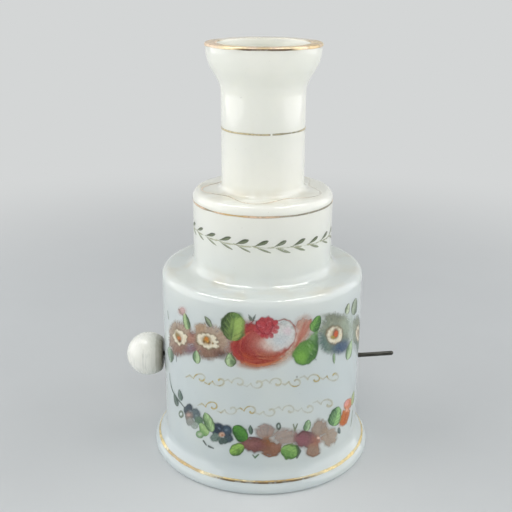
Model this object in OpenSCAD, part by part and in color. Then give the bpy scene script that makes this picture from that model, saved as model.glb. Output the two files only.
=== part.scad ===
// Peep box: a blown opaline glass case with an eye lens in its neck. A three-sided picture
// drum turns on a wire spindle across the lower drum, and a ball knob at the side turns it.
// Millimetres, +Z up. The origin is on the case's axis, level with the foot's underside,
// and the spindle lies along X with the knob on the -X side.

/* [Glass case] */
// Radius of the flared foot
foot_r = 32.8; // [31:0.1:36]
// Height of the foot's rounded edge
foot_edge_h = 2; // [1.4:0.1:3]
// Rise of the foot's flare from its edge to the drum
foot_flare_h = 3.8; // [2.5:0.1:6]
// Outside radius of the lower drum
drum_r = 29.3; // [27.5:0.1:31]
// Height of the lower drum's shoulder above the foot's underside
drum_top = 57; // [52:0.5:64]
// Outside radius of the collar above the drum
collar_r = 20; // [17:0.1:23]
// Rise of the collar's shoulder above the drum's shoulder
collar_rise = 22.8; // [16:0.1:28]
// Outside radius of the neck
neck_r = 11.8; // [10.5:0.1:14]
// Rise of the neck from the collar's shoulder to the eye cup's flare
neck_rise = 28.8; // [24:0.1:36]
// Outside radius of the eye cup above its flare
cup_r = 15.6; // [14.5:0.1:18]
// Rise of the eye cup's flare
flare_rise = 6.4; // [5:0.1:9]
// Outside radius of the rim
rim_r = 16.1; // [15:0.1:18.5]
// Rise of the rim above the flare
rim_rise = 5; // [3.5:0.1:8]
// Width of the flat lip around the mouth
lip_w = 3.3; // [2.4:0.1:4]
// Thickness of the blown wall
wall = 2.8; // [2.2:0.1:3.4]

/* [Glass rounding] */
// Radius of the foot's lower edge
foot_low_round = 0.9; // [0.4:0.1:1.4]
// Radius of the foot's upper edge
foot_top_round = 2.4; // [0.8:0.1:3]
// Fillet between the foot's flare and the drum
foot_fillet = 4; // [1:0.1:6]
// Radius of the drum's shoulder
drum_round = 2.4; // [1:0.1:4]
// Fillet at the base of the collar
collar_fillet = 3; // [1:0.1:4]
// Radius of the collar's shoulder
collar_round = 2.1; // [1:0.1:4]
// Fillet at the base of the neck
neck_fillet = 1.8; // [0.6:0.1:3]
// Radius of the hollow curve where the neck starts to flare
flare_round = 8; // [4:0.5:12]
// Radius of the full curve where the eye cup turns upright
cup_round = 15; // [8:0.5:20]
// Radius of both edges of the lip
lip_round = 0.6; // [0.2:0.1:1]
// Radius of the corners inside the case
inner_round = 1.2; // [0.4:0.1:2]

/* [Base closure] */
// Depth of the rebate under the foot that takes the base disc
rebate_depth = 4; // [3.4:0.1:5]
// Width of the glass ledge that the base disc seats on
ledge_w = 1.7; // [1.4:0.1:2.2]
// Thickness of the wooden base disc
base_disc_t = 2.4; // [1.6:0.1:2.6]
// Width of the cement ring around the base disc
cement_w = 1; // [0.6:0.1:1.2]
// Thickness of the paper pasted under the base disc
base_paper_t = 0.3; // [0.2:0.05:0.5]

/* [Eye lens] */
// Distance from the start of the flare down to the lens's upper edge
lens_drop = 5; // [4:0.1:8]
// Thickness of the lens at its edge
lens_edge_t = 1.4; // [1:0.1:2.5]
// Height of each of the lens's two domes
lens_dome = 0.55; // [0.3:0.05:1]
// Height of the cork ring under the lens
seat_ring_h = 4; // [2.5:0.1:6]
// Width of the cork ring under the lens
seat_ring_w = 1.6; // [1:0.1:2.4]
// Diameter of the brass wire of the split ring above the lens
split_ring_d = 1; // [0.8:0.1:1.4]
// Angle of the split ring's opening
split_ring_gap = 40; // [15:5:90]

/* [Spindle and knob] */
// Height of the spindle's axis above the foot's underside
spindle_z = 27.6; // [25:0.1:32]
// Diameter of the spindle wire
spindle_d = 1.4; // [1.1:0.1:2]
// Depth filed off the wire's radius at the two knob seats
seat_step = 0.05; // [0.03:0.01:0.1]
// Length of the taper from the wire down to the bare end's knob seat
seat_taper = 0.8; // [0.6:0.1:1.5]
// Length of bare wire that stands out of the glass on the +X side
free_end = 10.6; // [6:0.1:14]
// Diameter of the ball knob
knob_d = 13; // [10:0.1:16]
// Distance from the knob's centre to its flat inner face
knob_flat = 4.6; // [3:0.1:4.9]
// Depth of the wire in the knob
knob_grip = 8.8; // [5:0.1:9]
// Diameter of the cork bushes in the glass
bush_d = 4; // [3:0.1:5]
// Distance that a bush stands proud of the inner wall
bush_proud = 0.6; // [0.3:0.1:1.5]
// Distance that a bush is sunk below the outer wall
bush_sunk = 0.3; // [0.2:0.1:0.8]
// Diameter of the rolled paper spacers beside the picture drum
spacer_d = 3.8; // [3:0.1:5]

/* [Picture drum] */
// Length of the picture drum along the spindle
card_len = 36; // [30:0.5:40]
// Thickness of the picture cards
card_t = 0.8; // [0.5:0.1:1.2]
// Thickness of the wooden end blocks
block_t = 4; // [3:0.1:6]
// Thickness of the prints
print_t = 0.2; // [0.15:0.05:0.3]
// Bare card at each end of a print
print_margin = 3.4; // [3:0.1:5]
// Bare card between a print and the corner bindings
print_gap = 0.6; // [0.3:0.1:1.5]
// Thickness of the paper bindings along the drum's corners
binding_t = 0.25; // [0.15:0.05:0.3]
// Width of a binding on each of its two cards
binding_leg = 3; // [2:0.1:4.5]
// Diameter of the brass pins that hold the cards
pin_d = 0.7; // [0.5:0.1:1]
// Length of a pin below its head
pin_len = 4; // [2.5:0.1:5]
// Diameter of a pin's head
pin_head_d = 1.4; // [1.2:0.1:1.8]
// Height of a pin's head
pin_head_h = 0.3; // [0.2:0.05:0.4]
// Distance between the two pins at one end of a card
pin_spread = 16; // [10:0.5:20]

/* [Clearances] */
// Radial running clearance of the spindle in its bushes
running_gap = 0.05; // [0.02:0.01:0.1]
// Gap left for glue between pieces that are fixed together
glue_gap = 0.02; // [0.01:0.01:0.05]
// Gap between the knob's flat face and the glass
knob_gap = 0.3; // [0.2:0.05:0.6]
// Gap between the spacers and the bushes
end_play = 0.25; // [0.15:0.05:0.5]
// Least gap between the turning picture drum and the case
swing_gap = 1.2; // [0.6:0.1:2]

/* [Hidden] */
$fn = 96;
// Straight steps in each rounded corner of an outline
arc_steps = 8;
// Straight steps from the middle of a lens dome to its edge
dome_steps = 12;
// Largest share of an edge that a rounded corner may take
edge_share = 0.48;
// Faces of the picture drum
drum_faces = 3;
// Excess length of a cutting tool past the material
over = 1;

// Heights of the case
collar_top = drum_top + collar_rise;
flare_z = collar_top + neck_rise;
cup_z = flare_z + flare_rise;
rim_z = cup_z + rim_rise;

// Radii inside the case
drum_bore = drum_r - wall;
collar_bore = collar_r - wall;
neck_bore = neck_r - wall;
rebate_r = drum_bore + ledge_w;

// Base closure
base_disc_r = rebate_r - cement_w;
base_disc_z = rebate_depth - base_disc_t;

// Eye lens
lens_r = neck_bore - glue_gap;
lens_top = flare_z - lens_drop;
lens_low = lens_top - lens_edge_t;
lens_sphere_r = (pow(lens_r, 2) + pow(lens_dome, 2)) / (2 * lens_dome);
seat_ring_r = neck_bore - seat_ring_w;
split_ring_r = split_ring_d / 2;
split_ring_turn = neck_bore - glue_gap - split_ring_r;

// Spindle and knob
spindle_r = spindle_d / 2;
seat_r = spindle_r - seat_step;
knob_face_x = drum_r + knob_gap;
knob_x = knob_face_x + knob_flat;
bare_seat_x = knob_face_x + seat_taper;
wire_end_x = drum_r + free_end;
bush_in_x = drum_bore - bush_proud;
bush_out_x = drum_r - bush_sunk;

// Picture drum: its corners clear the wall and the base disc as it turns
drum_end_x = card_len / 2;
wall_reach = sqrt(pow(drum_bore - swing_gap, 2) - pow(drum_end_x, 2));
base_reach = spindle_z - rebate_depth - swing_gap;
card_reach = min(wall_reach, base_reach) - binding_t;
block_face = (sqrt(4 * pow(card_reach, 2) - 3 * pow(card_t, 2)) - card_t) / 4;
card_w = 2 * sqrt(3) * block_face;
card_in = block_face + glue_gap;
card_out = card_in + card_t;
print_len = card_len - 2 * print_margin;
print_w = card_w - 2 * (binding_leg + print_gap);
pin_x = drum_end_x - block_t / 2;

// Outlines with rounded corners

function flat(p) = [p[0], p[1]];
function unit(v) = v / norm(v);
function bearing(v) = atan2(v[1], v[0]);
function short_turn(a) = a - 360 * round(a / 360);

// Points of the arc that rounds corner i of a closed outline of [x, y, radius] corners
function corner_arc(corners, i) =
    let (
        n = len(corners),
        tip = flat(corners[i]),
        before = flat(corners[(i + n - 1) % n]) - tip,
        after = flat(corners[(i + 1) % n]) - tip,
        half = acos(unit(before) * unit(after)) / 2,
        cut = min(corners[i][2] / tan(half), edge_share * norm(before), edge_share * norm(after)),
        r = cut * tan(half),
        centre = tip + unit(unit(before) + unit(after)) * r / sin(half),
        from = bearing(tip + unit(before) * cut - centre),
        turn = short_turn(bearing(tip + unit(after) * cut - centre) - from)
    )
    corners[i][2] == 0 ? [tip] :
    [for (k = [0 : arc_steps])
        let (a = from + turn * k / arc_steps) centre + r * [cos(a), sin(a)]];

function rounded(corners) = [for (i = [0 : len(corners) - 1]) each corner_arc(corners, i)];

// Height that the lens's dome has lost at radius r, counted from its middle
function dome_loss(r) = lens_sphere_r - sqrt(pow(lens_sphere_r, 2) - pow(r, 2));
// Height of the lens's dome at radius r, counted from its edge
function dome_rise(r) = lens_dome - dome_loss(r);

// Shared shapes

// A round bar on the spindle's axis between two places along X
module spindle_bar(r, x0, x1) {
    translate([x0, 0, spindle_z]) rotate([0, 90, 0]) cylinder(r = r, h = x1 - x0);
}

// A flat ring or disc about the case's axis
module ring(r_out, r_in, z0, z1) {
    translate([0, 0, z0]) difference() {
        cylinder(r = r_out, h = z1 - z0);
        if (r_in > 0) translate([0, 0, -over]) cylinder(r = r_in, h = z1 - z0 + 2 * over);
    }
}

// A right prism along X, from an outline in the Y and Z directions about the spindle's axis
module drum_prism(outline, x0, x1) {
    translate([x0, 0, spindle_z]) rotate([90, 0, 90]) linear_extrude(x1 - x0) polygon(outline);
}

// Places a child on one face of the picture drum, with the face's outward way as +Z
module on_face(face) {
    translate([0, 0, spindle_z]) rotate([face * 360 / drum_faces, 0, 0]) children();
}

// Places a child at each pin of one face, on the card's outer side
module at_pins(face) {
    for (end = [-1, 1], side = [-1, 1])
        on_face(face) translate([end * pin_x, side * pin_spread / 2, card_out]) children();
}

// A pin's shank with its head above z = 0, enlarged all round by a gap
module pin(gap) {
    translate([0, 0, -pin_len - gap]) cylinder(d = pin_d + 2 * gap, h = pin_len + gap + glue_gap);
    translate([0, 0, glue_gap]) cylinder(d = pin_head_d, h = pin_head_h);
}

// Case

module glass_body() {
    outline = rounded([
        [rebate_r, 0, 0],
        [foot_r, 0, foot_low_round],
        [foot_r, foot_edge_h, foot_top_round],
        [drum_r, foot_edge_h + foot_flare_h, foot_fillet],
        [drum_r, drum_top, drum_round],
        [collar_r, drum_top, collar_fillet],
        [collar_r, collar_top, collar_round],
        [neck_r, collar_top, neck_fillet],
        [neck_r, flare_z, flare_round],
        [cup_r, cup_z, cup_round],
        [rim_r, rim_z, lip_round],
        [rim_r - lip_w, rim_z, lip_round],
        [cup_r - lip_w, cup_z, cup_round - lip_w],
        [neck_bore, flare_z, flare_round + wall],
        [neck_bore, collar_top - wall, inner_round],
        [collar_bore, collar_top - wall, inner_round],
        [collar_bore, drum_top - wall, inner_round],
        [drum_bore, drum_top - wall, inner_round],
        [drum_bore, rebate_depth, 0],
        [rebate_r, rebate_depth, 0],
    ]);
    color("#f2f3ee") difference() {
        rotate_extrude() polygon(outline);
        spindle_bar(bush_d / 2, -drum_r - over, drum_r + over);
    }
}

module eye_lens() {
    radii = [for (k = [0 : dome_steps]) lens_r * k / dome_steps];
    upper = [for (r = radii) [r, lens_top + dome_rise(r)]];
    lower = [for (k = [dome_steps : -1 : 0]) [radii[k], lens_low - dome_rise(radii[k])]];
    color("#d9e6e6", 0.35) rotate_extrude() polygon(concat(upper, lower));
}

// The cork ring carries the lens's lower dome on its inner edge
module lens_seat_ring() {
    seat_z = lens_low - dome_rise(seat_ring_r) - glue_gap;
    color("#b98d5e") ring(neck_bore - glue_gap, seat_ring_r, seat_z - seat_ring_h, seat_z);
}

// The split ring springs out against the neck's bore and presses on the lens's upper dome
module lens_split_ring() {
    ring_z = lens_top + dome_rise(split_ring_turn - split_ring_r) + split_ring_r;
    color("#b5913f") translate([0, 0, ring_z]) rotate([0, 0, split_ring_gap / 2])
        rotate_extrude(angle = 360 - split_ring_gap)
        translate([split_ring_turn, 0]) circle(r = split_ring_r);
}

module bush(side) {
    x0 = side > 0 ? bush_in_x : -bush_out_x;
    length = bush_out_x - bush_in_x;
    color("#b98d5e") difference() {
        spindle_bar(bush_d / 2 - glue_gap, x0, x0 + length);
        spindle_bar(spindle_r + running_gap, x0 - over, x0 + length + over);
    }
}

module left_bush() bush(-1);
module right_bush() bush(1);

module base_disc() {
    color("#c8a678") ring(base_disc_r - glue_gap, 0, base_disc_z, rebate_depth - glue_gap);
}

module base_cement_ring() {
    color("#d8d2c2") ring(rebate_r - glue_gap, base_disc_r, base_disc_z, rebate_depth - glue_gap);
}

module base_paper() {
    paper_top = base_disc_z - glue_gap;
    color("#5d7a5a") ring(rebate_r - glue_gap, 0, paper_top - base_paper_t, paper_top);
}

// Spindle and knob

// The wire is filed down a little at both ends for a knob, and its bare end is domed
module spindle() {
    color("#5b5a55") {
        spindle_bar(spindle_r, -knob_face_x, knob_face_x);
        spindle_bar(seat_r, -knob_face_x - knob_grip, -knob_face_x);
        translate([knob_face_x, 0, spindle_z]) rotate([0, 90, 0])
            cylinder(r1 = spindle_r, r2 = seat_r, h = seat_taper);
        spindle_bar(seat_r, bare_seat_x, wire_end_x - seat_r);
        translate([wire_end_x - seat_r, 0, spindle_z]) sphere(r = seat_r);
    }
}

module knob() {
    color("#ecebe4") difference() {
        translate([-knob_x, 0, spindle_z]) sphere(d = knob_d);
        spindle_bar(knob_d, -knob_face_x, -knob_face_x + knob_d);
        spindle_bar(seat_r + glue_gap, -knob_face_x - knob_grip - glue_gap, -knob_face_x + over);
    }
}

module spacer(side) {
    x0 = drum_end_x + glue_gap;
    length = bush_in_x - end_play - x0;
    start = side > 0 ? x0 : -x0 - length;
    color("#d9cdb0") difference() {
        spindle_bar(spacer_d / 2, start, start + length);
        spindle_bar(spindle_r + glue_gap, start - over, start + length + over);
    }
}

module left_spacer() spacer(-1);
module right_spacer() spacer(1);

// Picture drum

// A three-cornered wooden block with one face square to +Z
module drum_end(side) {
    x0 = side > 0 ? drum_end_x - block_t : -drum_end_x;
    corners = [for (k = [0 : drum_faces - 1])
        let (a = 90 + (k + 0.5) * 360 / drum_faces) 2 * block_face * [cos(a), sin(a)]];
    color("#c39a66") difference() {
        drum_prism(corners, x0, x0 + block_t);
        spindle_bar(spindle_r + glue_gap, x0 - over, x0 + block_t + over);
        for (face = [0 : drum_faces - 1]) at_pins(face) pin(glue_gap);
    }
}

module left_drum_end() drum_end(-1);
module right_drum_end() drum_end(1);

module picture_card(face) {
    color("#cdbb97") difference() {
        on_face(face) translate([-drum_end_x, -card_w / 2, card_in]) cube([card_len, card_w, card_t]);
        at_pins(face) pin(glue_gap);
    }
}

module picture_card_1() picture_card(0);
module picture_card_2() picture_card(1);
module picture_card_3() picture_card(2);

module picture_print(face) {
    color("#d8d0b8") on_face(face)
        translate([-print_len / 2, -print_w / 2, card_out + glue_gap]) cube([print_len, print_w, print_t]);
}

module picture_print_1() picture_print(0);
module picture_print_2() picture_print(1);
module picture_print_3() picture_print(2);

// A strip of paper folded over the corner between two cards. It lies on both cards and
// crosses straight from one card's edge to the other's.
module corner_binding(face) {
    paper_in = card_out + glue_gap;
    // Outward ways of the first card, the flat of the corner and the second card
    ways = [for (a = [90, 90 + 180 / drum_faces, 90 + 360 / drum_faces]) [cos(a), sin(a)]];
    // The way along the first card towards the corner, and along the second card away from it
    along = [[-1, 0], [cos(180 + 360 / drum_faces), sin(180 + 360 / drum_faces)]];
    edge_1 = paper_in * ways[0] + card_w / 2 * along[0];
    edge_2 = paper_in * ways[2] - card_w / 2 * along[1];
    inner = [edge_1 - binding_leg * along[0], edge_1, edge_2, edge_2 + binding_leg * along[1]];
    lift = [
        ways[0],
        (ways[0] + ways[1]) / (1 + ways[0] * ways[1]),
        (ways[1] + ways[2]) / (1 + ways[1] * ways[2]),
        ways[2],
    ];
    outer = [for (k = [3 : -1 : 0]) inner[k] + binding_t * lift[k]];
    color("#7c8f78") translate([0, 0, spindle_z]) rotate([face * 360 / drum_faces, 0, 0])
        translate([0, 0, -spindle_z]) drum_prism(concat(inner, outer), -drum_end_x, drum_end_x);
}

module corner_binding_1() corner_binding(0);
module corner_binding_2() corner_binding(1);
module corner_binding_3() corner_binding(2);

module card_pins() {
    color("#b5913f") for (face = [0 : drum_faces - 1]) at_pins(face) pin(0);
}

glass_body();
eye_lens();
lens_seat_ring();
lens_split_ring();
left_bush();
right_bush();
base_disc();
base_cement_ring();
base_paper();
spindle();
knob();
left_spacer();
right_spacer();
left_drum_end();
right_drum_end();
picture_card_1();
picture_card_2();
picture_card_3();
picture_print_1();
picture_print_2();
picture_print_3();
corner_binding_1();
corner_binding_2();
corner_binding_3();
card_pins();
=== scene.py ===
# %% [markdown]
# A milk glass peep box. The real one is a blown case of white opaline glass that stands in
# the hand. One eye looks down through a lens in its neck at small pictures on a drum, and a
# ball knob at the side turns the drum. The outside is painted with garlands of flowers, a
# laurel vine and gilt lines. This lesson dresses the finished solids: each step says what a
# piece is on the real box, how it could be made here, and why this way was chosen.
#
# The solids come first, as a fixed frame in metres. Nothing here moves or resizes them.

# %% Load the frame
import math

import bmesh
import bpy
import numpy as np
from mathutils import Matrix, Vector


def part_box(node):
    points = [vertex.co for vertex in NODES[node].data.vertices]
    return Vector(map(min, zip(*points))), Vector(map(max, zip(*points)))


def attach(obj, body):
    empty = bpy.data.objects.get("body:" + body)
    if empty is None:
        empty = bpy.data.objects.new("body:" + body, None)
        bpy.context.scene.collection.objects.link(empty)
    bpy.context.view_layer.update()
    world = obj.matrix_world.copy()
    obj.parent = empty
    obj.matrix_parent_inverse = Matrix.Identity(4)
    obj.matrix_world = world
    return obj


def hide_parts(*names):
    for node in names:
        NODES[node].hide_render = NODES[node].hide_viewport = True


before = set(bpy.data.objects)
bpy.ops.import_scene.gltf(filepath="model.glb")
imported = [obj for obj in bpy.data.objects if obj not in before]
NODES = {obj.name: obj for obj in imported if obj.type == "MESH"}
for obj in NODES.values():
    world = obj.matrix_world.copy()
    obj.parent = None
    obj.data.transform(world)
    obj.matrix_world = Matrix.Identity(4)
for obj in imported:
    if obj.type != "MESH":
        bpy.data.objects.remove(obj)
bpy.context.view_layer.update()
MM = 0.001

# %% [markdown]
# The camera stands where the photographer stood: close by, a little above the rim and looking
# down. A focal length in pixels of the 512 pixel frame says how strong the perspective is.
# It becomes a lens length through the width of Blender's camera sensor. The photograph leans
# by a third of a degree, so the camera does too.

# %% Camera
FRAME_PX = 512
FOCAL_PX = 857.5
EYE = np.array((0.0, -235.5, 142.2))  # in mm
LOOK_DOWN, LOOK_LEFT, LEAN = np.radians((19.43, 0.44, 0.30))
SENSOR_W = 36.0


def placed(name, data):
    """A new object in the scene."""
    made = bpy.data.objects.new(name, data)
    bpy.context.scene.collection.objects.link(made)
    return made


def view_axes():
    """The camera's right, up and forward ways."""
    level = np.array((math.cos(LOOK_LEFT), math.sin(LOOK_LEFT), 0.0))
    forward = np.array((-math.sin(LOOK_LEFT), math.cos(LOOK_LEFT), -math.tan(LOOK_DOWN)))
    forward /= np.linalg.norm(forward)
    upright = np.cross(level, forward)
    right = level * math.cos(LEAN) + upright * math.sin(LEAN)
    return right, np.cross(right, forward), forward


RIGHT, UP, FORWARD = view_axes()
camera_data = bpy.data.cameras.new("photo_camera")
camera_data.sensor_width = SENSOR_W
camera_data.lens = FOCAL_PX / FRAME_PX * SENSOR_W
camera_data.clip_start = 0.01
camera = placed("photo_camera", camera_data)
facing = np.column_stack((RIGHT, UP, -FORWARD))
camera.matrix_world = Matrix.Translation(Vector(EYE * MM)) @ Matrix(facing.tolist()).to_4x4()
bpy.context.scene.camera = camera
print("lens", round(camera_data.lens, 2), "mm")

# %% [markdown]
# The glass is a body of revolution: a foot, a drum, a collar, a neck and an eye cup, one wall
# thick all the way. It could be stacked from cylinders and cones, but then every seam would
# need its own bevel. A lathe of one profile gives the whole case. Its corners are a radius, a
# height and a rounding each, and a rounding becomes a short arc, because blown glass has no
# sharp corner. The same list closes through the inside of the case.

# %% Profile of the case
_, glass_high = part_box("glass_body")
FOOT_R = glass_high.y / MM
RIM_Z = glass_high.z / MM
DRUM_R, DRUM_TOP = 29.3, 57.0
COLLAR_R, COLLAR_TOP = 20.0, 79.8
NECK_R, FLARE_Z = 11.8, 108.6
CUP_R, CUP_Z = 15.6, 115.0
RIM_R, LIP_W = 16.1, 3.3
WALL = 2.8
REBATE_R, REBATE_DEPTH = 28.2, 4.0
SKIN = 0.05  # the glass stays this far inside the solid, so that the paint has room
ARC_STEPS = 10
MOST_CUT = 0.48  # a rounding takes at most this share of the side next to it


def rounded(corners):
    """Points of a closed outline whose (radius, height, rounding) corners are rounded off."""
    points = []
    for i, (r, z, rounding) in enumerate(corners):
        tip = np.array((r, z))
        before = np.array(corners[i - 1][:2]) - tip
        after = np.array(corners[(i + 1) % len(corners)][:2]) - tip
        if rounding == 0:
            points.append(tip)
            continue
        ways = before / np.linalg.norm(before), after / np.linalg.norm(after)
        half = math.acos(np.clip(ways[0] @ ways[1], -1, 1)) / 2
        shorter = min(np.linalg.norm(before), np.linalg.norm(after))
        cut = min(rounding / math.tan(half), MOST_CUT * shorter)
        middle = tip + (ways[0] + ways[1]) / np.linalg.norm(ways[0] + ways[1]) * cut / math.cos(half)
        first, last = tip + ways[0] * cut - middle, tip + ways[1] * cut - middle
        start = math.atan2(first[1], first[0])
        sweep = (math.atan2(last[1], last[0]) - start + math.pi) % (2 * math.pi) - math.pi
        radius = np.linalg.norm(first)
        for a in start + sweep * np.linspace(0, 1, ARC_STEPS + 1):
            points.append(middle + radius * np.array((math.cos(a), math.sin(a))))
    return np.array(points)


OUTSIDE = [
    (REBATE_R, 0.0, 0),
    (FOOT_R - SKIN, 0.0, 0.9),
    (FOOT_R - SKIN, 2.0, 2.4),
    (DRUM_R - SKIN, 5.8, 4.0),
    (DRUM_R - SKIN, DRUM_TOP - SKIN, 2.4),
    (COLLAR_R - SKIN, DRUM_TOP - SKIN, 3.0),
    (COLLAR_R - SKIN, COLLAR_TOP - SKIN, 2.1),
    (NECK_R - SKIN, COLLAR_TOP - SKIN, 1.8),
    (NECK_R - SKIN, FLARE_Z, 8.0),
    (CUP_R - SKIN, CUP_Z, 15.0),
    (RIM_R - SKIN, RIM_Z - SKIN, 0.6),
    (RIM_R - LIP_W, RIM_Z - SKIN, 0.6),
]
INSIDE = [
    (CUP_R - LIP_W, CUP_Z, 11.7),
    (NECK_R - WALL, FLARE_Z, 10.8),
    (NECK_R - WALL, COLLAR_TOP - WALL, 1.2),
    (COLLAR_R - WALL, COLLAR_TOP - WALL, 1.2),
    (COLLAR_R - WALL, DRUM_TOP - WALL, 1.2),
    (DRUM_R - WALL, DRUM_TOP - WALL, 1.2),
    (DRUM_R - WALL, REBATE_DEPTH, 0),
    (REBATE_R, REBATE_DEPTH, 0),
]
case_outline = rounded(OUTSIDE + INSIDE)
print("profile of", len(case_outline), "points, widest at", round(case_outline[:, 0].max(), 2), "mm")


# %% [markdown]
# The case is turned from its profile. Blender's Screw modifier would do that, but arrays let
# the wall waver while it is turned: every profile point goes round the axis, and each square
# between neighbours is a face. Long straight stretches are cut shorter first, so that the wall
# can waver all the way up. The waver is little more than a tenth of a millimetre, which bends
# the highlights just enough to look blown and not machined.

# %% Turning on a lathe
AROUND = 256
LONGEST = 2.0
WAVER = 0.09
SOFT_UP_TO = 38  # degrees, edges that turn by more stay sharp


def cut_short(outline, longest):
    """The closed outline with no step longer than this."""
    points = []
    for a, b in zip(outline, np.roll(outline, -1, axis=0)):
        count = max(1, math.ceil(np.linalg.norm(b - a) / longest))
        points += [a + (b - a) * k / count for k in range(count)]
    return np.array(points)


def blown(angle, z):
    """How far the blown wall stands out at a place, in mm. It is never above 0, so it only goes in."""
    return WAVER * (0.5 * np.sin(2 * angle + 0.7 + z / 37) + 0.3 * np.sin(3 * angle - z / 23) - 0.8)


def smoothed(mesh, sharp):
    """Shades a mesh smooth, apart from edges that turn by more than an angle, where one is given."""
    mesh.shade_smooth()
    if sharp:
        mesh.set_sharp_from_angle(angle=math.radians(sharp))


def piece(name, points, faces, sharp=SOFT_UP_TO):
    """A new object from points in mm and lists of corners."""
    mesh = bpy.data.meshes.new(name)
    mesh.from_pydata((points * MM).tolist(), [], faces)
    smoothed(mesh, sharp)
    return placed(name, mesh)


def squares(rows, columns, closed_rows=0, closed_columns=0):
    """Faces between neighbours in a grid of points. A closed way goes on to its first points again."""
    corner = np.arange(rows * columns).reshape(rows, columns)
    corner = np.pad(corner, ((0, closed_rows), (0, closed_columns)), mode="wrap")
    around_square = corner[:-1, :-1], corner[:-1, 1:], corner[1:, 1:], corner[1:, :-1]
    return np.stack(around_square, axis=-1).reshape(-1, 4)


def turned(outline, around, waver=None):
    """Points and faces of a closed (radius, height) outline turned about Z."""
    angle = np.linspace(0, 2 * math.pi, around, endpoint=False)
    r = np.repeat(outline[:, :1], around, axis=1)
    z = np.repeat(outline[:, 1:], around, axis=1)
    if waver:
        r = r + waver(angle[None, :], z)
    points = np.stack((r * np.sin(angle), -r * np.cos(angle), z), axis=-1).reshape(-1, 3)
    return points, squares(len(outline), around, 1, 1).tolist()


glass_case = piece("opaline_case", *turned(cut_short(case_outline, LONGEST), AROUND, blown))
print("opaline_case has", len(glass_case.data.polygons), "faces")

# %% [markdown]
# The spindle goes through two drilled holes in the drum's wall. They could be left out of the
# mesh face by face, but their edges would follow the grid. A drilled hole is a round bar taken
# away, and a Boolean modifier does just that. It is applied at once, so the piece goes on as a
# plain mesh.

# %% Drilling the spindle holes
bush_low, bush_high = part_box("left_bush")
HOLE_PLAY = 0.03
HOLE_R = (bush_high.z - bush_low.z) / 2 / MM + HOLE_PLAY
SPINDLE_Z = (bush_high.z + bush_low.z) / 2 / MM
DRILL_SIDES = 48


def drilled(target, radius, height, reach):
    """Takes a round bar along X away from the target."""
    bar = bmesh.new()
    lay_down = Matrix.Translation((0, 0, height * MM)) @ Matrix.Rotation(math.pi / 2, 4, "Y")
    bmesh.ops.create_cone(bar, cap_ends=True, segments=DRILL_SIDES, radius1=radius * MM,
                          radius2=radius * MM, depth=2 * reach * MM, matrix=lay_down)
    drill_mesh = bpy.data.meshes.new("drill")
    bar.to_mesh(drill_mesh)
    bar.free()
    drill = placed("drill", drill_mesh)
    cut = target.modifiers.new("hole", "BOOLEAN")
    cut.operation = "DIFFERENCE"
    cut.object = drill
    depsgraph = bpy.context.evaluated_depsgraph_get()
    result = bpy.data.meshes.new_from_object(target.evaluated_get(depsgraph))
    target.modifiers.clear()
    target.data = result
    bpy.data.objects.remove(drill)
    smoothed(result, SOFT_UP_TO)


drilled(glass_case, HOLE_R, SPINDLE_Z, FOOT_R)
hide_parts("glass_body")
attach(glass_case, "case")
print("drilled at", round(SPINDLE_Z, 2), "mm, now", len(glass_case.data.polygons), "faces")


# %% [markdown]
# Finishes are node materials. Nodes could be made and linked one by one, which is long and
# hard to read. So that the shader maths reads like maths, one small class wraps a socket and
# turns +, - and * into Math nodes, also when the plain number comes first, as in 1 - mask.

# %% Shader maths
class Flow:
    """A value that flows through a node tree."""

    def __init__(self, finish, socket):
        self.finish, self.socket = finish, socket

    def maths(self, operation, first, second):
        return self.finish.node("ShaderNodeMath", {"operation": operation}, {0: first, 1: second})

    def __add__(self, other):
        return self.maths("ADD", self, other)

    def __sub__(self, other):
        return self.maths("SUBTRACT", self, other)

    def __rsub__(self, other):
        return self.maths("SUBTRACT", other, self)

    def __mul__(self, other):
        return self.maths("MULTIPLY", self, other)

    __radd__, __rmul__ = __add__, __mul__


print("a flow knows", [name for name in vars(Flow) if name.startswith("__r")])


# %% [markdown]
# A second class holds a material while it is built. One method makes any node: its settings
# are set first, then its sockets are given values or links. The few nodes that every finish
# needs have a short method each. Colours go through Mix nodes, because a Math node would turn
# them grey. They are written as screen colours, and a function turns those into the linear
# ones that Blender counts in.

# %% Finishes
def tint(code):
    """Linear colour of a six-digit screen colour."""
    parts = [int(code[i:i + 2], 16) / 255 for i in (0, 2, 4)]
    return tuple(c / 12.92 if c <= 0.04045 else ((c + 0.055) / 1.055) ** 2.4 for c in parts) + (1.0,)


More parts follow.
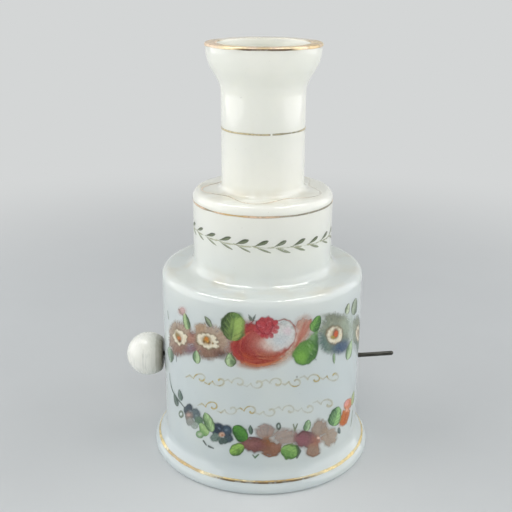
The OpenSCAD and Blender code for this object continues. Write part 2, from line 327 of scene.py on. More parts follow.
class Finish:
    """A material under construction, around its Principled shader."""

    def __init__(self, name, owner=None):
        self.material = owner or bpy.data.materials.new(name)
        self.material.use_nodes = True
        self.nodes, self.links = self.material.node_tree.nodes, self.material.node_tree.links
        self.shader = self.nodes.get("Principled BSDF")

    def feed(self, socket, value):
        """Gives a socket a value or a link."""
        if isinstance(value, Flow):
            self.links.new(value.socket, socket)
        else:
            socket.default_value = value

    def node(self, kind, settings=None, inputs=None, out=0):
        """A new node: its settings first, then the values or links of its sockets."""
        made = self.nodes.new(kind)
        for key, value in (settings or {}).items():
            setattr(made, key, value)
        for key, value in (inputs or {}).items():
            self.feed(made.inputs[key], value)
        return Flow(self, made.outputs[out])

    def place(self):
        """Where on the piece, in millimetres of the box's own frame."""
        spot = self.node("ShaderNodeTexCoord", out="Object")
        return self.node("ShaderNodeVectorMath", {"operation": "SCALE"}, {0: spot, "Scale": 1 / MM})

    def stretched(self, spot, ways):
        """The place with each of its ways made finer or coarser."""
        return self.node("ShaderNodeVectorMath", {"operation": "MULTIPLY"}, {0: spot, 1: ways})

    def noise(self, spot, scale, detail=2.0, rough=0.5):
        inputs = {"Vector": spot, "Scale": scale, "Detail": detail, "Roughness": rough}
        return self.node("ShaderNodeTexNoise", {}, inputs)

    def between(self, value, low, high):
        """0 below low, 1 above high and a soft step between."""
        inputs = {"Value": value, "From Min": low, "From Max": high}
        return self.node("ShaderNodeMapRange", {"clamp": True, "interpolation_type": "SMOOTHSTEP"}, inputs)

    def mix(self, share, first, second, how="MIX"):
        settings = {"data_type": "RGBA", "blend_type": how}
        return self.node("ShaderNodeMix", settings, {0: share, 6: first, 7: second}, out=2)

    def bump(self, height, strength, depth_mm):
        inputs = {"Height": height, "Strength": strength, "Distance": depth_mm * MM}
        return self.node("ShaderNodeBump", {}, inputs)

    def done(self, **sockets):
        """Feeds the shader's sockets, named with _ for a blank."""
        for name, value in sockets.items():
            self.feed(self.shader.inputs[name.replace("_", " ")], value)
        return self.material


print("middle grey counts as", [round(part, 3) for part in tint("808080")])


# %% [markdown]
# Opaline glass is white right through. It could be clear glass full of fine haze, but that is
# slow to render and full of noise. So it is a soft white under a clear gloss: a Principled
# shader with some light let under the surface. Light and shade are painted into its colour by
# height: the drum is painted a cooler, darker white as painted shade, and the parts above it a
# paler, warmer white as painted light. Slow clouds, a trace of old dirt in the two inner corners,
# a few dark specks and a very slow ripple keep it from looking like plastic.

# %% Opaline glass
PAINTED_SHADE_Z, PAINTED_LIGHT_Z, CLOUD_SHIFT = 41, 82, 14


def inner_corner(f, height, low, corner, high):
    """A mask that is strongest at the corner's height."""
    return f.between(height, low, corner) * (1 - f.between(height, corner, high))


def opaline_glass():
    f = Finish("opaline_glass")
    spot = f.place()
    height = f.node("ShaderNodeSeparateXYZ", {}, {0: spot}, out="Z")
    clouds = f.noise(spot, 0.05, 3.0)
    fine = f.noise(spot, 0.9, 4.0, 0.6)
    # painted light and shade: a cooler, darker white on the drum below, a paler warm white above
    upper = f.between(height + clouds * CLOUD_SHIFT - CLOUD_SHIFT / 2, PAINTED_SHADE_Z, PAINTED_LIGHT_Z)
    white = f.mix(upper, tint("ced7d8"), tint("f6f6ec"))
    white = f.mix(f.between(clouds, 0.35, 0.75) * 0.35, white, tint("e2e7df"))
    dirt = inner_corner(f, height, DRUM_TOP - 1.5, DRUM_TOP + 0.5, DRUM_TOP + 5.0)
    dirt = dirt + inner_corner(f, height, COLLAR_TOP - 0.8, COLLAR_TOP + 0.4, COLLAR_TOP + 3.2)
    stain = f.between(f.noise(spot, 0.12, 2.0), 0.45, 0.75)
    white = f.mix(dirt * stain * 0.5, white, tint("d6cdb4"))
    specks = f.between(f.noise(spot, 1.6, 1.0), 0.78, 0.81) * 0.4
    white = f.mix(specks, white, tint("9d9f96"))
    ripple = f.noise(spot, 0.035, 1.0)
    rough = 0.05 + f.between(fine, 0.35, 0.8) * 0.06
    return f.done(Base_Color=white, Roughness=rough, IOR=1.5, Subsurface_Weight=0.4,
                  Subsurface_Radius=(1.0, 1.0, 0.92), Subsurface_Scale=4.0 * MM,
                  Normal=f.bump(ripple, 0.5, 0.6))


glass_case.data.materials.clear()
glass_case.data.materials.append(opaline_glass())
print("glass finish:", glass_case.data.materials[0].name)


# %% [markdown]
# A brush never lays colour evenly. The painting needs noise that is smooth, the same on every
# run and known at all points of a grid at once. Blender's own noise in Python takes one point
# at a time, so a small table of seeded random numbers is read softly between its entries.

# %% Noise and soft steps
TABLE = 64


def lattice_noise(u, v, size, seed):
    """Smooth noise from 0 to 1 over a plane, with features of the given size."""
    table = np.random.default_rng(seed).random((TABLE, TABLE))
    a, b = np.asarray(u) / size, np.asarray(v) / size
    i, j = np.floor(a).astype(int), np.floor(b).astype(int)
    s, t = a - i, b - j
    s, t = s * s * (3 - 2 * s), t * t * (3 - 2 * t)
    i, j, after, below = i % TABLE, j % TABLE, (i + 1) % TABLE, (j + 1) % TABLE
    low = table[i, j] * (1 - s) + table[after, j] * s
    high = table[i, below] * (1 - s) + table[after, below] * s
    return low * (1 - t) + high * t


def ease(value, low, high):
    """0 below low, 1 above high and a soft step between."""
    t = np.clip((value - low) / (high - low), 0, 1)
    return t * t * (3 - 2 * t)


def shade(code):
    """Linear colour of a six-digit screen colour, for sums of paint."""
    return np.array(tint(code)[:3])


print("noise at one place:", round(float(lattice_noise(3.3, 4.7, 2.0, 5)), 4))


# %% [markdown]
# The painting goes round the drum and the collar. It is easiest to lay out as it is seen, so
# each stroke is placed by the pixel of the photograph where it shows. It could be projected
# from the camera, but that smears over the sides. So a class unrolls the wall flat, and a ray
# through a pixel is followed to the wall. How one pixel lies there says how wide a stroke is.

# %% Unrolled wall
MOST_GROWN = 7.0  # a pixel at the wall's edge is drawn out to this width at most


def leaning(lean):
    """The ways across and along an oval that leans by some degrees, as columns."""
    c, s = math.cos(math.radians(lean)), math.sin(math.radians(lean))
    return np.array(((c, -s), (s, c)))


class Wall:
    """Points on an upright round wall, unrolled: u goes round from the front and v goes down."""

    def __init__(self, points, radius, scale):
        self.points, self.radius, self.scale = points, radius, np.array(scale)
        self.u, self.v = np.moveaxis(self.unrolled(points), -1, 0)

    def unrolled(self, points):
        """Flat places of points on the wall."""
        round_way = np.arctan2(points[..., 0], -points[..., 1]) * self.radius
        return np.stack((round_way, -points[..., 2]), axis=-1) * self.scale

    def at(self, seen):
        """Flat places that show at these pixels, where the ray through each one meets the wall."""
        offset = (np.array(seen, float) - FRAME_PX / 2) / FOCAL_PX
        ray = FORWARD + offset[..., :1] * RIGHT - offset[..., 1:] * UP
        level, eye = ray[..., :2], EYE[:2]
        along, square = level @ eye, (level ** 2).sum(axis=-1)
        under = np.maximum(along ** 2 - square * (eye @ eye - self.radius ** 2), 0)
        return self.unrolled(EYE + ((-along - np.sqrt(under)) / square)[..., None] * ray)

    def pixel(self, seen):
        """The flat ways of one pixel right and one pixel down at this place of the picture."""
        left, right, top, low = self.at(np.array(seen) + [(-0.5, 0), (0.5, 0), (0, -0.5), (0, 0.5)])
        across = right - left
        return np.column_stack((across * min(1, MOST_GROWN / np.hypot(*across)), low - top))

    def near(self, path, reach):
        """The spots of the grid within reach of the box round a path."""
        low, high = np.min(path, axis=0) - reach, np.max(path, axis=0) + reach
        round_way, down = (self.u > low[0]) & (self.u < high[0]), (self.v > low[1]) & (self.v < high[1])
        return np.nonzero(round_way & down)

    def across(self, middle, half_u, half_v, lean, spots, pixel):
        """Offsets from the middle of a leaning oval, in halves of its width and height."""
        offset = np.stack((self.u[spots] - middle[0], self.v[spots] - middle[1]))
        a, b = np.tensordot(np.linalg.inv(pixel @ leaning(lean)), offset, axes=1)
        return a / half_u, b / half_v


drum_front = Wall(np.array((0.0, -DRUM_R, 30.0)), DRUM_R, (1, 1)).pixel((256, 380))
print("a pixel is", round(math.sqrt(np.linalg.det(drum_front)), 3), "mm on the drum's front")


# %% [markdown]
# Enamel is coloured glass powder, laid on with a brush and fired, so it is a thin film. Curves
# with a width could be strokes, but they would stack up and not blend. So the canvas is a fine
# grid on the wall with a colour and a cover at each point, and every dab or stroke is laid over
# what is there with a soft, ragged edge, as wet colours are.

# %% Canvas for enamel
NO_PAINT = 0.001


class Canvas(Wall):
    """A film of paint on a wall."""

    def __init__(self, points, radius, scale, seed):
        super().__init__(points, radius, scale)
        self.colour = np.ones(points.shape)
        self.cover = np.zeros(points.shape[:2])
        self.grain = lattice_noise(self.u, self.v, 2.1, seed)
        self.edge = lattice_noise(self.u, self.v, 3.3, seed + 1) - 0.5

    def lay(self, mask, colour, strength=1.0, spots=...):
        """One more layer of colour on some spots of the grid, as strong as the mask says."""
        share = (np.clip(mask, 0, 1) * strength * (0.86 + 0.14 * self.grain[spots]))[..., None]
        under = self.cover[spots][..., None] * (1 - share)
        total = share + under
        blend = (colour * share + self.colour[spots] * under) / np.maximum(total, NO_PAINT)
        self.colour[spots] = np.where(total > NO_PAINT, blend, colour)
        self.cover[spots] = total[..., 0]

    def dab(self, middle, half_u, half_v, colour, lean=0.0, soft=0.25, strength=1.0, ragged=0.15, *, pixel):
        """A round touch of the brush, its halves in pixels of the given flat ways."""
        spots = self.near([middle], 2.2 * max(half_u, half_v) * np.abs(pixel).sum(axis=1))
        a, b = self.across(middle, half_u, half_v, lean, spots, pixel)
        reach = np.hypot(a, b) + self.edge[spots] * ragged
        self.lay(1 - ease(reach, 1 - soft, 1 + soft), shade(colour), strength, spots)

    def stroke(self, path, widths, colour, soft=0.6, strength=1.0):
        """A drawn line through the path's points. Its half widths are spread along it."""
        path, widths = np.array(path, float), np.atleast_1d(widths)
        widths = np.interp(np.linspace(0, 1, len(path)), np.linspace(0, 1, len(widths)), widths)
        spots = self.near(path, widths.max() + soft + 1)
        u, v = self.u[spots], self.v[spots]
        mask = np.zeros(u.shape)
        for p, q, w0, w1 in zip(path, path[1:], widths, widths[1:]):
            way = q - p
            t = np.clip(((u - p[0]) * way[0] + (v - p[1]) * way[1]) / max(way @ way, 1e-6), 0, 1)
            far = np.hypot(u - p[0] - t * way[0], v - p[1] - t * way[1])
            half = w0 + (w1 - w0) * t + self.edge[spots] * 0.5
            mask = np.maximum(mask, 1 - ease(far, half - soft / 2, half + soft / 2))
        self.lay(mask, shade(colour), strength, spots)

    def touch(self, seen, half_u, half_v, *looks, **more):
        """A dab at a pixel, its size in pixels."""
        self.dab(self.at(seen), half_u, half_v, *looks, pixel=self.pixel(seen), **more)

    def draw(self, seen, widths, *looks, **more):
        """A stroke through pixels."""
        wider = math.sqrt(np.linalg.det(self.pixel(np.mean(seen, axis=0))))
        self.stroke(self.at(seen), np.atleast_1d(widths) * wider, *looks, **more)


print("brushes of a canvas:", [name for name in vars(Canvas) if not name.startswith("_")])


# %% [markdown]
# A painted leaf is one loaded stroke from stem to tip, light on one side and dark on the other,
# with a dark rim and sometimes a few veins. It could be filled in from many small strokes, but
# one formula gives the whole leaf: it works along the leaf from 0 at the stem to 1 at the tip,
# and across it from -1 to 1.

# %% Brush work: leaf
FULLEST, BLUNT = 0.4, 0.7


def leaf(canvas, stem, tip, half, light, dark, dark_side=1.0, veins=0, fullest=FULLEST, blunt=BLUNT,
         strength=0.95):
    """A leaf from stem to tip. fullest is where it is widest, and a low blunt makes round ends."""
    stem, tip = np.array(stem, float), np.array(tip, float)
    spots = canvas.near([stem, tip], 1.6 * half)
    edge = canvas.edge[spots]
    way = tip - stem
    length = np.linalg.norm(way)
    way = way / length
    a, b = canvas.u[spots] - stem[0], canvas.v[spots] - stem[1]
    along = (a * way[0] + b * way[1]) / length
    t = np.clip(along, 0, 1)
    out = b * way[0] - a * way[1]
    swell = np.sin(math.pi * t ** (math.log(0.5) / math.log(fullest)))
    side = out / np.maximum(half * np.maximum(swell, 0) ** blunt, 0.1 * half)
    ragged = np.abs(side) + edge * 0.25
    inside = 1 - ease(ragged, 0.78, 1.14)
    inside = inside * ease(along, -0.03, 0.03) * (1 - ease(along, 0.97, 1.03))
    turned_away = ease(side * dark_side + edge * 0.6, -0.05, 0.5)
    canvas.lay(inside, shade(light), strength, spots)
    canvas.lay(inside * turned_away, shade(dark), 0.85 * strength, spots)
    rim = ease(ragged, 0.62, 0.86)
    canvas.lay(inside * rim, shade(dark) * 0.5, 0.85 * strength, spots)
    if veins:
        pulled = np.abs(((t - 0.35 * np.abs(side)) * veins) % 1.0 - 0.5) * 2
        lines = (1 - ease(pulled, 0.0, 0.4)) * ease(np.abs(side), 0.05, 0.3) * (1 - rim)
        vein = shade(dark) + (shade(light) - shade(dark)) * turned_away[..., None]
        canvas.lay(inside * lines, vein, 0.55 * strength, spots)
        canvas.lay(inside * (1 - ease(np.abs(side), 0.03, 0.14)), shade(dark), 0.5 * strength, spots)


def seen_leaf(canvas, stem, tip, half, *looks):
    """A leaf between two pixels."""
    wider = np.linalg.det(canvas.pixel(np.add(stem, tip) / 2)) * math.dist(stem, tip)
    stem, tip = canvas.at(stem), canvas.at(tip)
    leaf(canvas, stem, tip, half * wider / math.dist(stem, tip), *looks)


print("a leaf is widest at", FULLEST, "of its length, where nothing else is said")


# %% [markdown]
# An aster is a ring of fine petals. A striped disc would look printed, so it is painted as by
# hand: a soft wash first, then many fine strokes pulled outward, each with its own place,
# length and tone from a seeded row of random numbers. They leave the edge ragged all round.

# %% Brush work: aster petals
HAIRS = 84


def aster(canvas, middle, half_u, half_v, tones, seed, lean=0.0, strength=0.8):
    """A soft wash, then fine petals pulled outward. tones are the upper, lower and hatching colours."""
    middle, pixel = canvas.at(middle), canvas.pixel(middle)
    a, b = canvas.across(middle, half_u, half_v, lean, ..., pixel)
    reach, bearing = np.hypot(a, b), np.arctan2(b, a)
    lobe = lattice_noise(2.5 * np.cos(bearing) + 9, 2.5 * np.sin(bearing) + 9, 1.0, seed) - 0.5
    uneven = reach + 0.25 * lobe + 0.25 * canvas.edge
    lower = ease(b + 0.7 * lobe + 0.5 * canvas.edge, -0.7, 0.9)[..., None]
    wash = shade(tones[0]) * (1 - lower) + shade(tones[1]) * lower
    canvas.lay(1 - ease(uneven, 0.62, 1.06), wash, strength)
    rng = np.random.default_rng(seed)
    for k in range(HAIRS):
        turn = 2 * math.pi * (k + rng.random()) / HAIRS
        first, last = 0.45 + 0.3 * rng.random(), 0.82 + 0.2 * rng.random()
        below = 0.5 + 0.5 * math.sin(turn)
        tone = tones[2] if rng.random() < 0.35 + 0.35 * below else tones[rng.integers(2)]
        way = pixel @ leaning(lean) @ (half_u * math.cos(turn), half_v * math.sin(turn))
        path = middle + np.outer((first, last), way)
        wide = 0.45 + 0.5 * rng.random()
        dry = 0.25 + 0.45 * rng.random()
        canvas.stroke(path, (0.3, wide, 0.35), tone, soft=1.0, strength=strength * dry)


print("an aster has", HAIRS, "fine petals")


# %% [markdown]
# An aster's heart is a cream ring with a rough outline and a few brown dabs for its core. Round
# dabs alone would be too smooth, so the ring is laid by angle and distance, where slow and quick
# noise bend its outline. A broken dark rim and a darker touch under each dab give it depth.

# %% Brush work: aster heart
CORE_SHADOW = 1.35  # the dark touch under each dab of the core is this much larger


def aster_heart(canvas, middle, half_u, half_v, cores, lean=0.0, seed=1, lumpy=1.0):
    """A cream ring and the dabs of the core, each (du, dv, half width, half height, colour)."""
    middle, pixel = canvas.at(middle), canvas.pixel(middle)
    spots = canvas.near([middle], 1.7 * max(half_u, half_v) * np.abs(pixel).sum(axis=1))
    a, b = canvas.across(middle, half_u, half_v, lean, spots, pixel)
    reach, bearing = np.hypot(a, b), np.arctan2(b, a)
    slow = lattice_noise(1.5 * np.cos(bearing) + 5, 1.5 * np.sin(bearing) + 5, 1.0, seed) - 0.5
    quick = lattice_noise(4 * np.cos(bearing) + 20, 4 * np.sin(bearing) + 20, 1.0, seed) - 0.5
    uneven = reach + lumpy * (0.25 * slow + 0.30 * quick)
    speckle = ease(canvas.grain[spots], 0.5, 0.8)
    canvas.lay(1 - ease(uneven, 1.0, 1.22), shade("6f5f45"), 0.55, spots)
    canvas.lay(1 - ease(uneven, 0.84, 1.04), shade("efe8d2"), 0.95, spots)
    canvas.lay((1 - ease(uneven, 0.8, 1.0)) * speckle, shade("c9b68c"), 0.5, spots)
    canvas.lay(1 - ease(reach, 0.25, 0.7), shade("b08c52"), 0.5, spots)
    rim = ease(uneven, 0.74, 0.92) * (1 - ease(uneven, 0.98, 1.12))
    canvas.lay(rim * ease(canvas.edge[spots], -0.15, 0.15), shade("6b5636"), 0.6, spots)
    for *offset, wide, high, _ in cores:
        shadow = wide * CORE_SHADOW, high * CORE_SHADOW
        canvas.dab(middle + pixel @ offset, *shadow, "5f4a2a", lean, 0.4, 0.5, pixel=pixel)
    for *offset, wide, high, colour in cores:
        canvas.dab(middle + pixel @ offset, wide, high, colour, lean, 0.35, 0.9, 0.4, pixel=pixel)


print("the core's dabs stand on touches", CORE_SHADOW, "times as large")


# %% [markdown]
# The paint could be a layer in the glass's own material, but it is a raised film with its own
# gloss. So the canvas becomes a mesh: its points stand off the glass by a few hundredths of a
# millimetre, more where the paint is thick, and unpainted squares are left out. Colour and
# cover go along as one colour attribute. A flat map of the grid is kept too, because a film
# that is unrolled straight is the best map for anyone who bakes it later.

# %% Film of paint
FILM_GAP, FILM_T = 0.012, 0.03
LEAST_COVER = 0.02
MAP_MARGIN = 0.01
PIXELS_PER_MM = 3.7, 3.3
PAINT = "enamel"


def film(name, on_glass, colour, cover, outward, flat):
    """A painted film from grids of points, colours, cover, outward ways and flat map places."""
    points = on_glass + outward * (FILM_GAP + FILM_T * np.minimum(cover, 1.0))[..., None]
    faces = squares(*cover.shape)
    faces = faces[cover.reshape(-1)[faces].max(axis=1) > LEAST_COVER]
    used, packed = np.unique(faces, return_inverse=True)
    made = piece(name, points.reshape(-1, 3)[used], packed.reshape(-1, 4).tolist(), sharp=None)
    mesh = made.data
    paint = mesh.color_attributes.new(PAINT, "FLOAT_COLOR", "POINT")
    values = np.concatenate((colour.reshape(-1, 3)[used], cover.reshape(-1, 1)[used]), axis=1)
    paint.data.foreach_set("color", values.astype(np.float32).ravel())
    unrolled = mesh.uv_layers.new(name="OFBake")
    corners = np.empty(len(mesh.loops), dtype=np.int32)
    mesh.loops.foreach_get("vertex_index", corners)
    inset = flat * (1 - 2 * MAP_MARGIN) + MAP_MARGIN
    unrolled.uv.foreach_set("vector", inset.reshape(-1, 2)[used][corners].astype(np.float32).ravel())
    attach(made, "case")
    return made


def wall_canvas(radius, left, right, low, high, step, seed, scale=PIXELS_PER_MM):
    """A canvas on an upright wall, from left to right round the front and from low to high."""
    round_way = np.arange(left, right + step, step)
    heights = np.arange(low, high + step, step)
    angle, z = np.meshgrid(round_way / radius, heights)
    outward = np.stack((np.sin(angle), -np.cos(angle), np.zeros_like(angle)), axis=-1)
    on_wall = outward * (radius - SKIN + blown(angle, z))[..., None]
    on_wall[..., 2] = z
    canvas = Canvas(on_wall, radius, scale, seed)
    canvas.outward = outward
    canvas.flat = np.stack(((angle * radius - left) / (right - left), (z - low) / (high - low)), axis=-1)
    return canvas


print("films stand", round(FILM_GAP + FILM_T, 3), "mm proud at most")


# %% [markdown]
# Enamel is glossy but uneven. One material with its own noise could colour every film, but
# then no stroke would keep its tone. So the colour attribute gives the base colour and the
# cover gives the alpha, and the feathered edges let the white glass through. A fine grain
# roughens it.

# %% Enamel finish
def film_paint(f, part):
    """What the film carries at each point: its Color, or its cover as Alpha."""
    return f.node("ShaderNodeAttribute", {"attribute_name": PAINT}, out=part)


def enamel():
    f = Finish("enamel_paint")
    colour, cover = film_paint(f, "Color"), film_paint(f, "Alpha")
    grain = f.noise(f.place(), 4.5, 3.0, 0.6)
    streaked = f.mix(f.between(grain, 0.3, 0.75) * 0.22, colour, tint("fbf6ee"), "SOFT_LIGHT")
    rough = 0.24 + f.between(grain, 0.3, 0.8) * 0.18
    return f.done(Base_Color=streaked, Alpha=cover, Roughness=rough, IOR=1.5,
                  Normal=f.bump(grain, 0.25, 0.05))


ENAMEL = enamel()
print("finish:", ENAMEL.name)

# %% [markdown]
# The upper garland hangs round the drum's top: a crimson rose in the middle with one white
# petal turned up, mauve asters on the left, blue-grey asters on the right, and green leaves
# between. Every flower could be a mesh of its own, but wet paint runs together, so all of them
# share one canvas. The order is the painter's: flowers first, then the leaves that overlap
# them, then the fine marks.

# %% Upper garland: asters
SIDE = DRUM_R * math.pi / 2
GRID = 0.15
upper = wall_canvas(DRUM_R, -SIDE, 1.1 * SIDE, low=31.0, high=54.5, step=GRID, seed=11)
MAUVE = ("bba58f", "987261", "6e4b3c")
SLATE = ("979d88", "69806f", "4a5752")
aster(upper, (223.5, 343.5), 11.5, 13.0, MAUVE, 19, strength=0.5)
aster(upper, (178.0, 338.0), 12.8, 18.8, MAUVE, 21)
aster(upper, (207.0, 341.5), 19.8, 18.8, MAUVE, 25, lean=12)
aster(upper, (358.4, 333.0), 3.6, 19.0, SLATE, 33)
upper.touch((350.0, 331.0), 6.0, 14.0, "b9c6b4", soft=0.8, strength=0.55)
aster(upper, (335.6, 334.0), 17.2, 22.0, SLATE, 29, lean=4)
for spot, half_u, half_v, tone, lean, strength in (
    ((190.5, 349.5), 5.0, 4.5, "7d5a72", 0, 0.6), ((191.0, 338.0), 4.5, 5.5, "a86858", 0, 0.5),
    ((179.5, 351.5), 9.0, 4.2, "84594a", 0, 0.5), ((199.5, 328.0), 5.0, 4.0, "b58f68", 0, 0.5),
    ((206.0, 355.0), 9.0, 3.6, "80604a", 8, 0.5), ((219.5, 354.5), 8.0, 3.8, "5f3d34", 14, 0.6),
    ((342.0, 346.5), 8.0, 5.6, "3a5278", -30, 0.8), ((324.0, 343.0), 5.0, 8.0, "5a7a78", -12, 0.5),
    ((333.0, 317.5), 10.0, 3.6, "6a705c", 0, 0.4), ((345.5, 326.0), 4.5, 7.0, "a9b6a2", 0, 0.5),
):
    upper.touch(spot, half_u, half_v, tone, lean, soft=0.7, strength=strength)
aster_heart(upper, (179.0, 337.6), 6.6, 8.8, [
    (-1.6, -1.5, 1.9, 4.4, "8a7434"), (0.0, 0.8, 1.7, 2.4, "c06a34"), (0.8, 3.6, 1.2, 1.6, "6a4320"),
], lean=-24, seed=2)
aster_heart(upper, (207.0, 340.9), 11.0, 8.0, [
    (-0.8, -0.8, 3.8, 3.6, "a07a2c"), (-0.6, -1.8, 1.7, 2.0, "c9742a"), (-3.0, 0.8, 1.2, 1.3, "6b4a18"),
    (1.8, 1.6, 1.4, 1.5, "6f4a1c"), (0.6, 0.4, 1.1, 1.1, "d09a45"), (5.6, 2.6, 0.9, 0.8, "8a6a3a"),
], lean=28, seed=5)
aster_heart(upper, (335.4, 334.8), 8.6, 9.2, [
    (0.4, -1.6, 2.6, 4.4, "7a3c28"), (1.0, -1.0, 1.9, 3.4, "cf5a2c"), (-2.2, 2.6, 2.2, 1.5, "a08c36"),
], lean=14, seed=8, lumpy=0.5)
aster_heart(upper, (358.4, 333.0), 1.5, 8.4, [(0.1, 0.5, 0.5, 3.6, "6b4a35")], seed=3)
print("asters painted on", upper.cover.shape, "points")

# %% [markdown]
# The rose is painted from big petals to small ones. The salmon petals at its right come first,
# then the crimson bowl over them. Plain dabs would look like a sticker, so fine curved strokes
# in neighbouring tones are drawn over the bowl, as the hairs of a brush leave them.

# %% Upper garland: rose petals
def brushed(c, oval, angles, tones, count, seed, width=0.8, strength=0.35):
    """Fine curved strokes along an oval (middle, half width, half height, lean), between two angles."""
    rng = np.random.default_rng(seed)
    middle, half_u, half_v, lean = oval
    for k in range(count):
        share = 0.35 + 0.62 * rng.random()
        first = angles[0] + (angles[1] - angles[0]) * rng.random()
        turn = np.radians(np.linspace(first, first + 15 + 45 * rng.random(), 6))
        path = np.stack((half_u * share * np.cos(turn), half_v * share * np.sin(turn)), axis=-1)
        path = path @ leaning(lean).T + middle
        thick = width * (0.6 + 0.8 * rng.random())
        c.draw(path, (0.3, thick, thick, 0.3), tones[k % len(tones)], soft=1.2, strength=strength)


BOWL = ((262.0, 343.5), 31.0, 20.5, -12)
STREAKS = 16


def rose_petals(c):
    for spot, half_u, half_v, tone, lean, soft, strength in (
        ((302.5, 330.0), 9.0, 13.0, "c49886", 28, 0.5, 0.75),
        ((297.5, 342.0), 5.5, 11.0, "c49a84", 32, 0.7, 0.7),
        ((284.0, 356.0), 14.0, 5.5, "cfa486", -36, 0.9, 0.6),
        ((259.0, 362.5), 18.0, 5.6, "b86a40", -6, 0.6, 0.85),
        (*BOWL[:3], "aa4238", BOWL[3], 0.10, 0.95),
        ((241.0, 346.0), 10.5, 12.5, "952724", 20, 0.6, 0.9),
        ((251.5, 350.0), 12.0, 8.0, "8a221e", 25, 0.8, 0.65),
        ((248.5, 330.0), 8.0, 8.5, "9e3434", -40, 0.6, 0.75),
        ((247.0, 358.5), 10.0, 4.6, "b04a20", 14, 0.7, 0.85),
        ((264.0, 356.5), 13.0, 5.0, "82281a", -12, 0.8, 0.7),
    ):
        c.touch(spot, half_u, half_v, tone, lean, soft, strength)
    brushed(c, BOWL, (75, 215), ("8a2220", "c0604c", "761a1c", "a43c2e", "962a2a"), 90, 51, 0.6, 0.4)
    brushed(c, ((268.0, 347.0), 26.0, 17.0, -14), (20, 120), ("ac4a28", "7c2a1c", "c47a52"), 40, 52, 0.6)
    rng = np.random.default_rng(53)
    for k in range(STREAKS):
        tip = 298.5 + 12.5 * rng.random(), 318.5 + 5.0 * rng.random()
        foot = 292.0 + 6.0 * rng.random(), 350.0 - 7.0 * rng.random()
        bend = (foot[0] + tip[0]) / 2 + 1.5, (foot[1] + tip[1]) / 2
        tone = ("b8796a", "c8a494", "ae6250", "bc8e7e")[k % 4]
        c.draw([foot, bend, tip], (0.5, 1.6, 1.0), tone, soft=1.8, strength=0.4)
    fold = [(296.5, 346.0), (300.5, 335.0), (304.5, 323.5)]
    c.draw(fold, (0.8, 1.8, 0.8), "a85440", soft=2.4, strength=0.6)


rose_petals(upper)
print("rose petals painted, cover up to", round(float(upper.cover.max()), 3))


# %% [markdown]
# The white petal and the dark heart lie over the bowl. They are dabs with soft edges, with
# short strokes round five small swirls in the heart. The dark lines that part the petals come
# last, because they have to stay crisp.

# %% Upper garland: rose heart
SWIRLS = (262.0, 325.0), (270.5, 324.5), (266.5, 330.0), (259.5, 330.5), (272.0, 330.5)


def rose_heart(c):
    for spot, half_u, half_v, tone, lean, soft, strength in (
        ((261.0, 344.0), 12.0, 9.0, "b87468", 24, 0.8, 0.65),
        ((269.0, 346.0), 11.0, 6.5, "c8a094", 16, 0.8, 0.7),
        ((281.6, 336.4), 15.8, 13.0, "d2d6d4", -30, 0.24, 0.97),
        ((271.5, 345.5), 8.5, 5.0, "d0c2b8", 8, 0.8, 0.75),
        ((280.0, 341.0), 8.5, 5.5, "bccad0", -30, 0.8, 0.65),
        ((287.5, 331.0), 4.2, 3.6, "d8c2cc", 0, 0.8, 0.6),
        ((266.0, 326.8), 11.8, 9.6, "ae3a42", -6, 0.16, 0.96),
        ((262.4, 335.0), 2.6, 3.0, "a82c38", 10, 0.3, 0.9),
        ((266.8, 336.4), 2.4, 2.6, "ae323c", 0, 0.3, 0.9),
        ((271.2, 335.6), 2.6, 3.0, "a42a36", -16, 0.3, 0.9),
        ((276.0, 322.6), 2.4, 2.6, "b8404a", 0, 0.3, 0.9),
        ((277.2, 327.4), 2.4, 2.2, "a83440", 0, 0.3, 0.9),
        ((275.2, 331.8), 2.6, 2.4, "b03a42", 0, 0.3, 0.9),
    ):
        c.touch(spot, half_u, half_v, tone, lean, soft, strength, ragged=0.3)
    tones = ("8c2430", "cc7c84", "9c2c3a", "b84c58", "781c26")
    for k, spot in enumerate(SWIRLS):
        brushed(c, (spot, 5.2, 4.6, 20 * k), (-20, 230), tones, 14, 54 + k, 0.6, 0.5)
    for path, width, tone in (
        ([(278.0, 321.0), (284.0, 319.3), (290.0, 321.3), (294.8, 327.0), (296.4, 334.0)], 0.8, "9c4a3c"),
        ([(296.4, 334.0), (294.2, 342.0), (289.0, 348.5), (281.0, 354.5), (272.0, 359.5)], 0.9, "984232"),
        ([(254.0, 320.5), (245.5, 327.5), (242.0, 336.0), (243.5, 346.0)], 0.9, "8e2a30"),
        ([(243.5, 346.0), (249.0, 354.5), (259.0, 360.0), (270.0, 360.5)], 1.0, "943022"),
        ([(233.0, 345.0), (236.0, 353.0), (243.0, 360.0)], 1.1, "a02c34"),
        ([(236.0, 338.0), (240.5, 331.5), (247.0, 324.0)], 0.8, "96303a"),
        ([(256.0, 321.0), (257.0, 328.0), (262.0, 333.5), (269.0, 334.5)], 0.8, "7c1e2a"),
        ([(263.0, 319.5), (266.5, 324.5), (265.0, 331.5)], 0.7, "84222e"),
        ([(271.0, 320.0), (273.0, 326.0), (270.5, 332.0)], 0.8, "7a1c28"),
        ([(245.0, 362.0), (256.0, 365.0), (268.0, 364.5), (282.0, 358.5)], 0.9, "c06a42"),
    ):
        c.draw(path, (0.4, width, 0.4), tone, soft=1.0, strength=0.75)


rose_heart(upper)
print("rose heart with", len(SWIRLS), "swirls")

# %% [markdown]
# Each leaf has a light green and a deep one. The big leaves get veins, the small ones are a
# single touch with a dark edge. One leaf right of the rose is folded, which the leaf formula
# can't give, so it is built from bent strokes. Short marks for stems and buds come last.

# %% Upper garland: leaves and marks
FOLD_LINES = 14


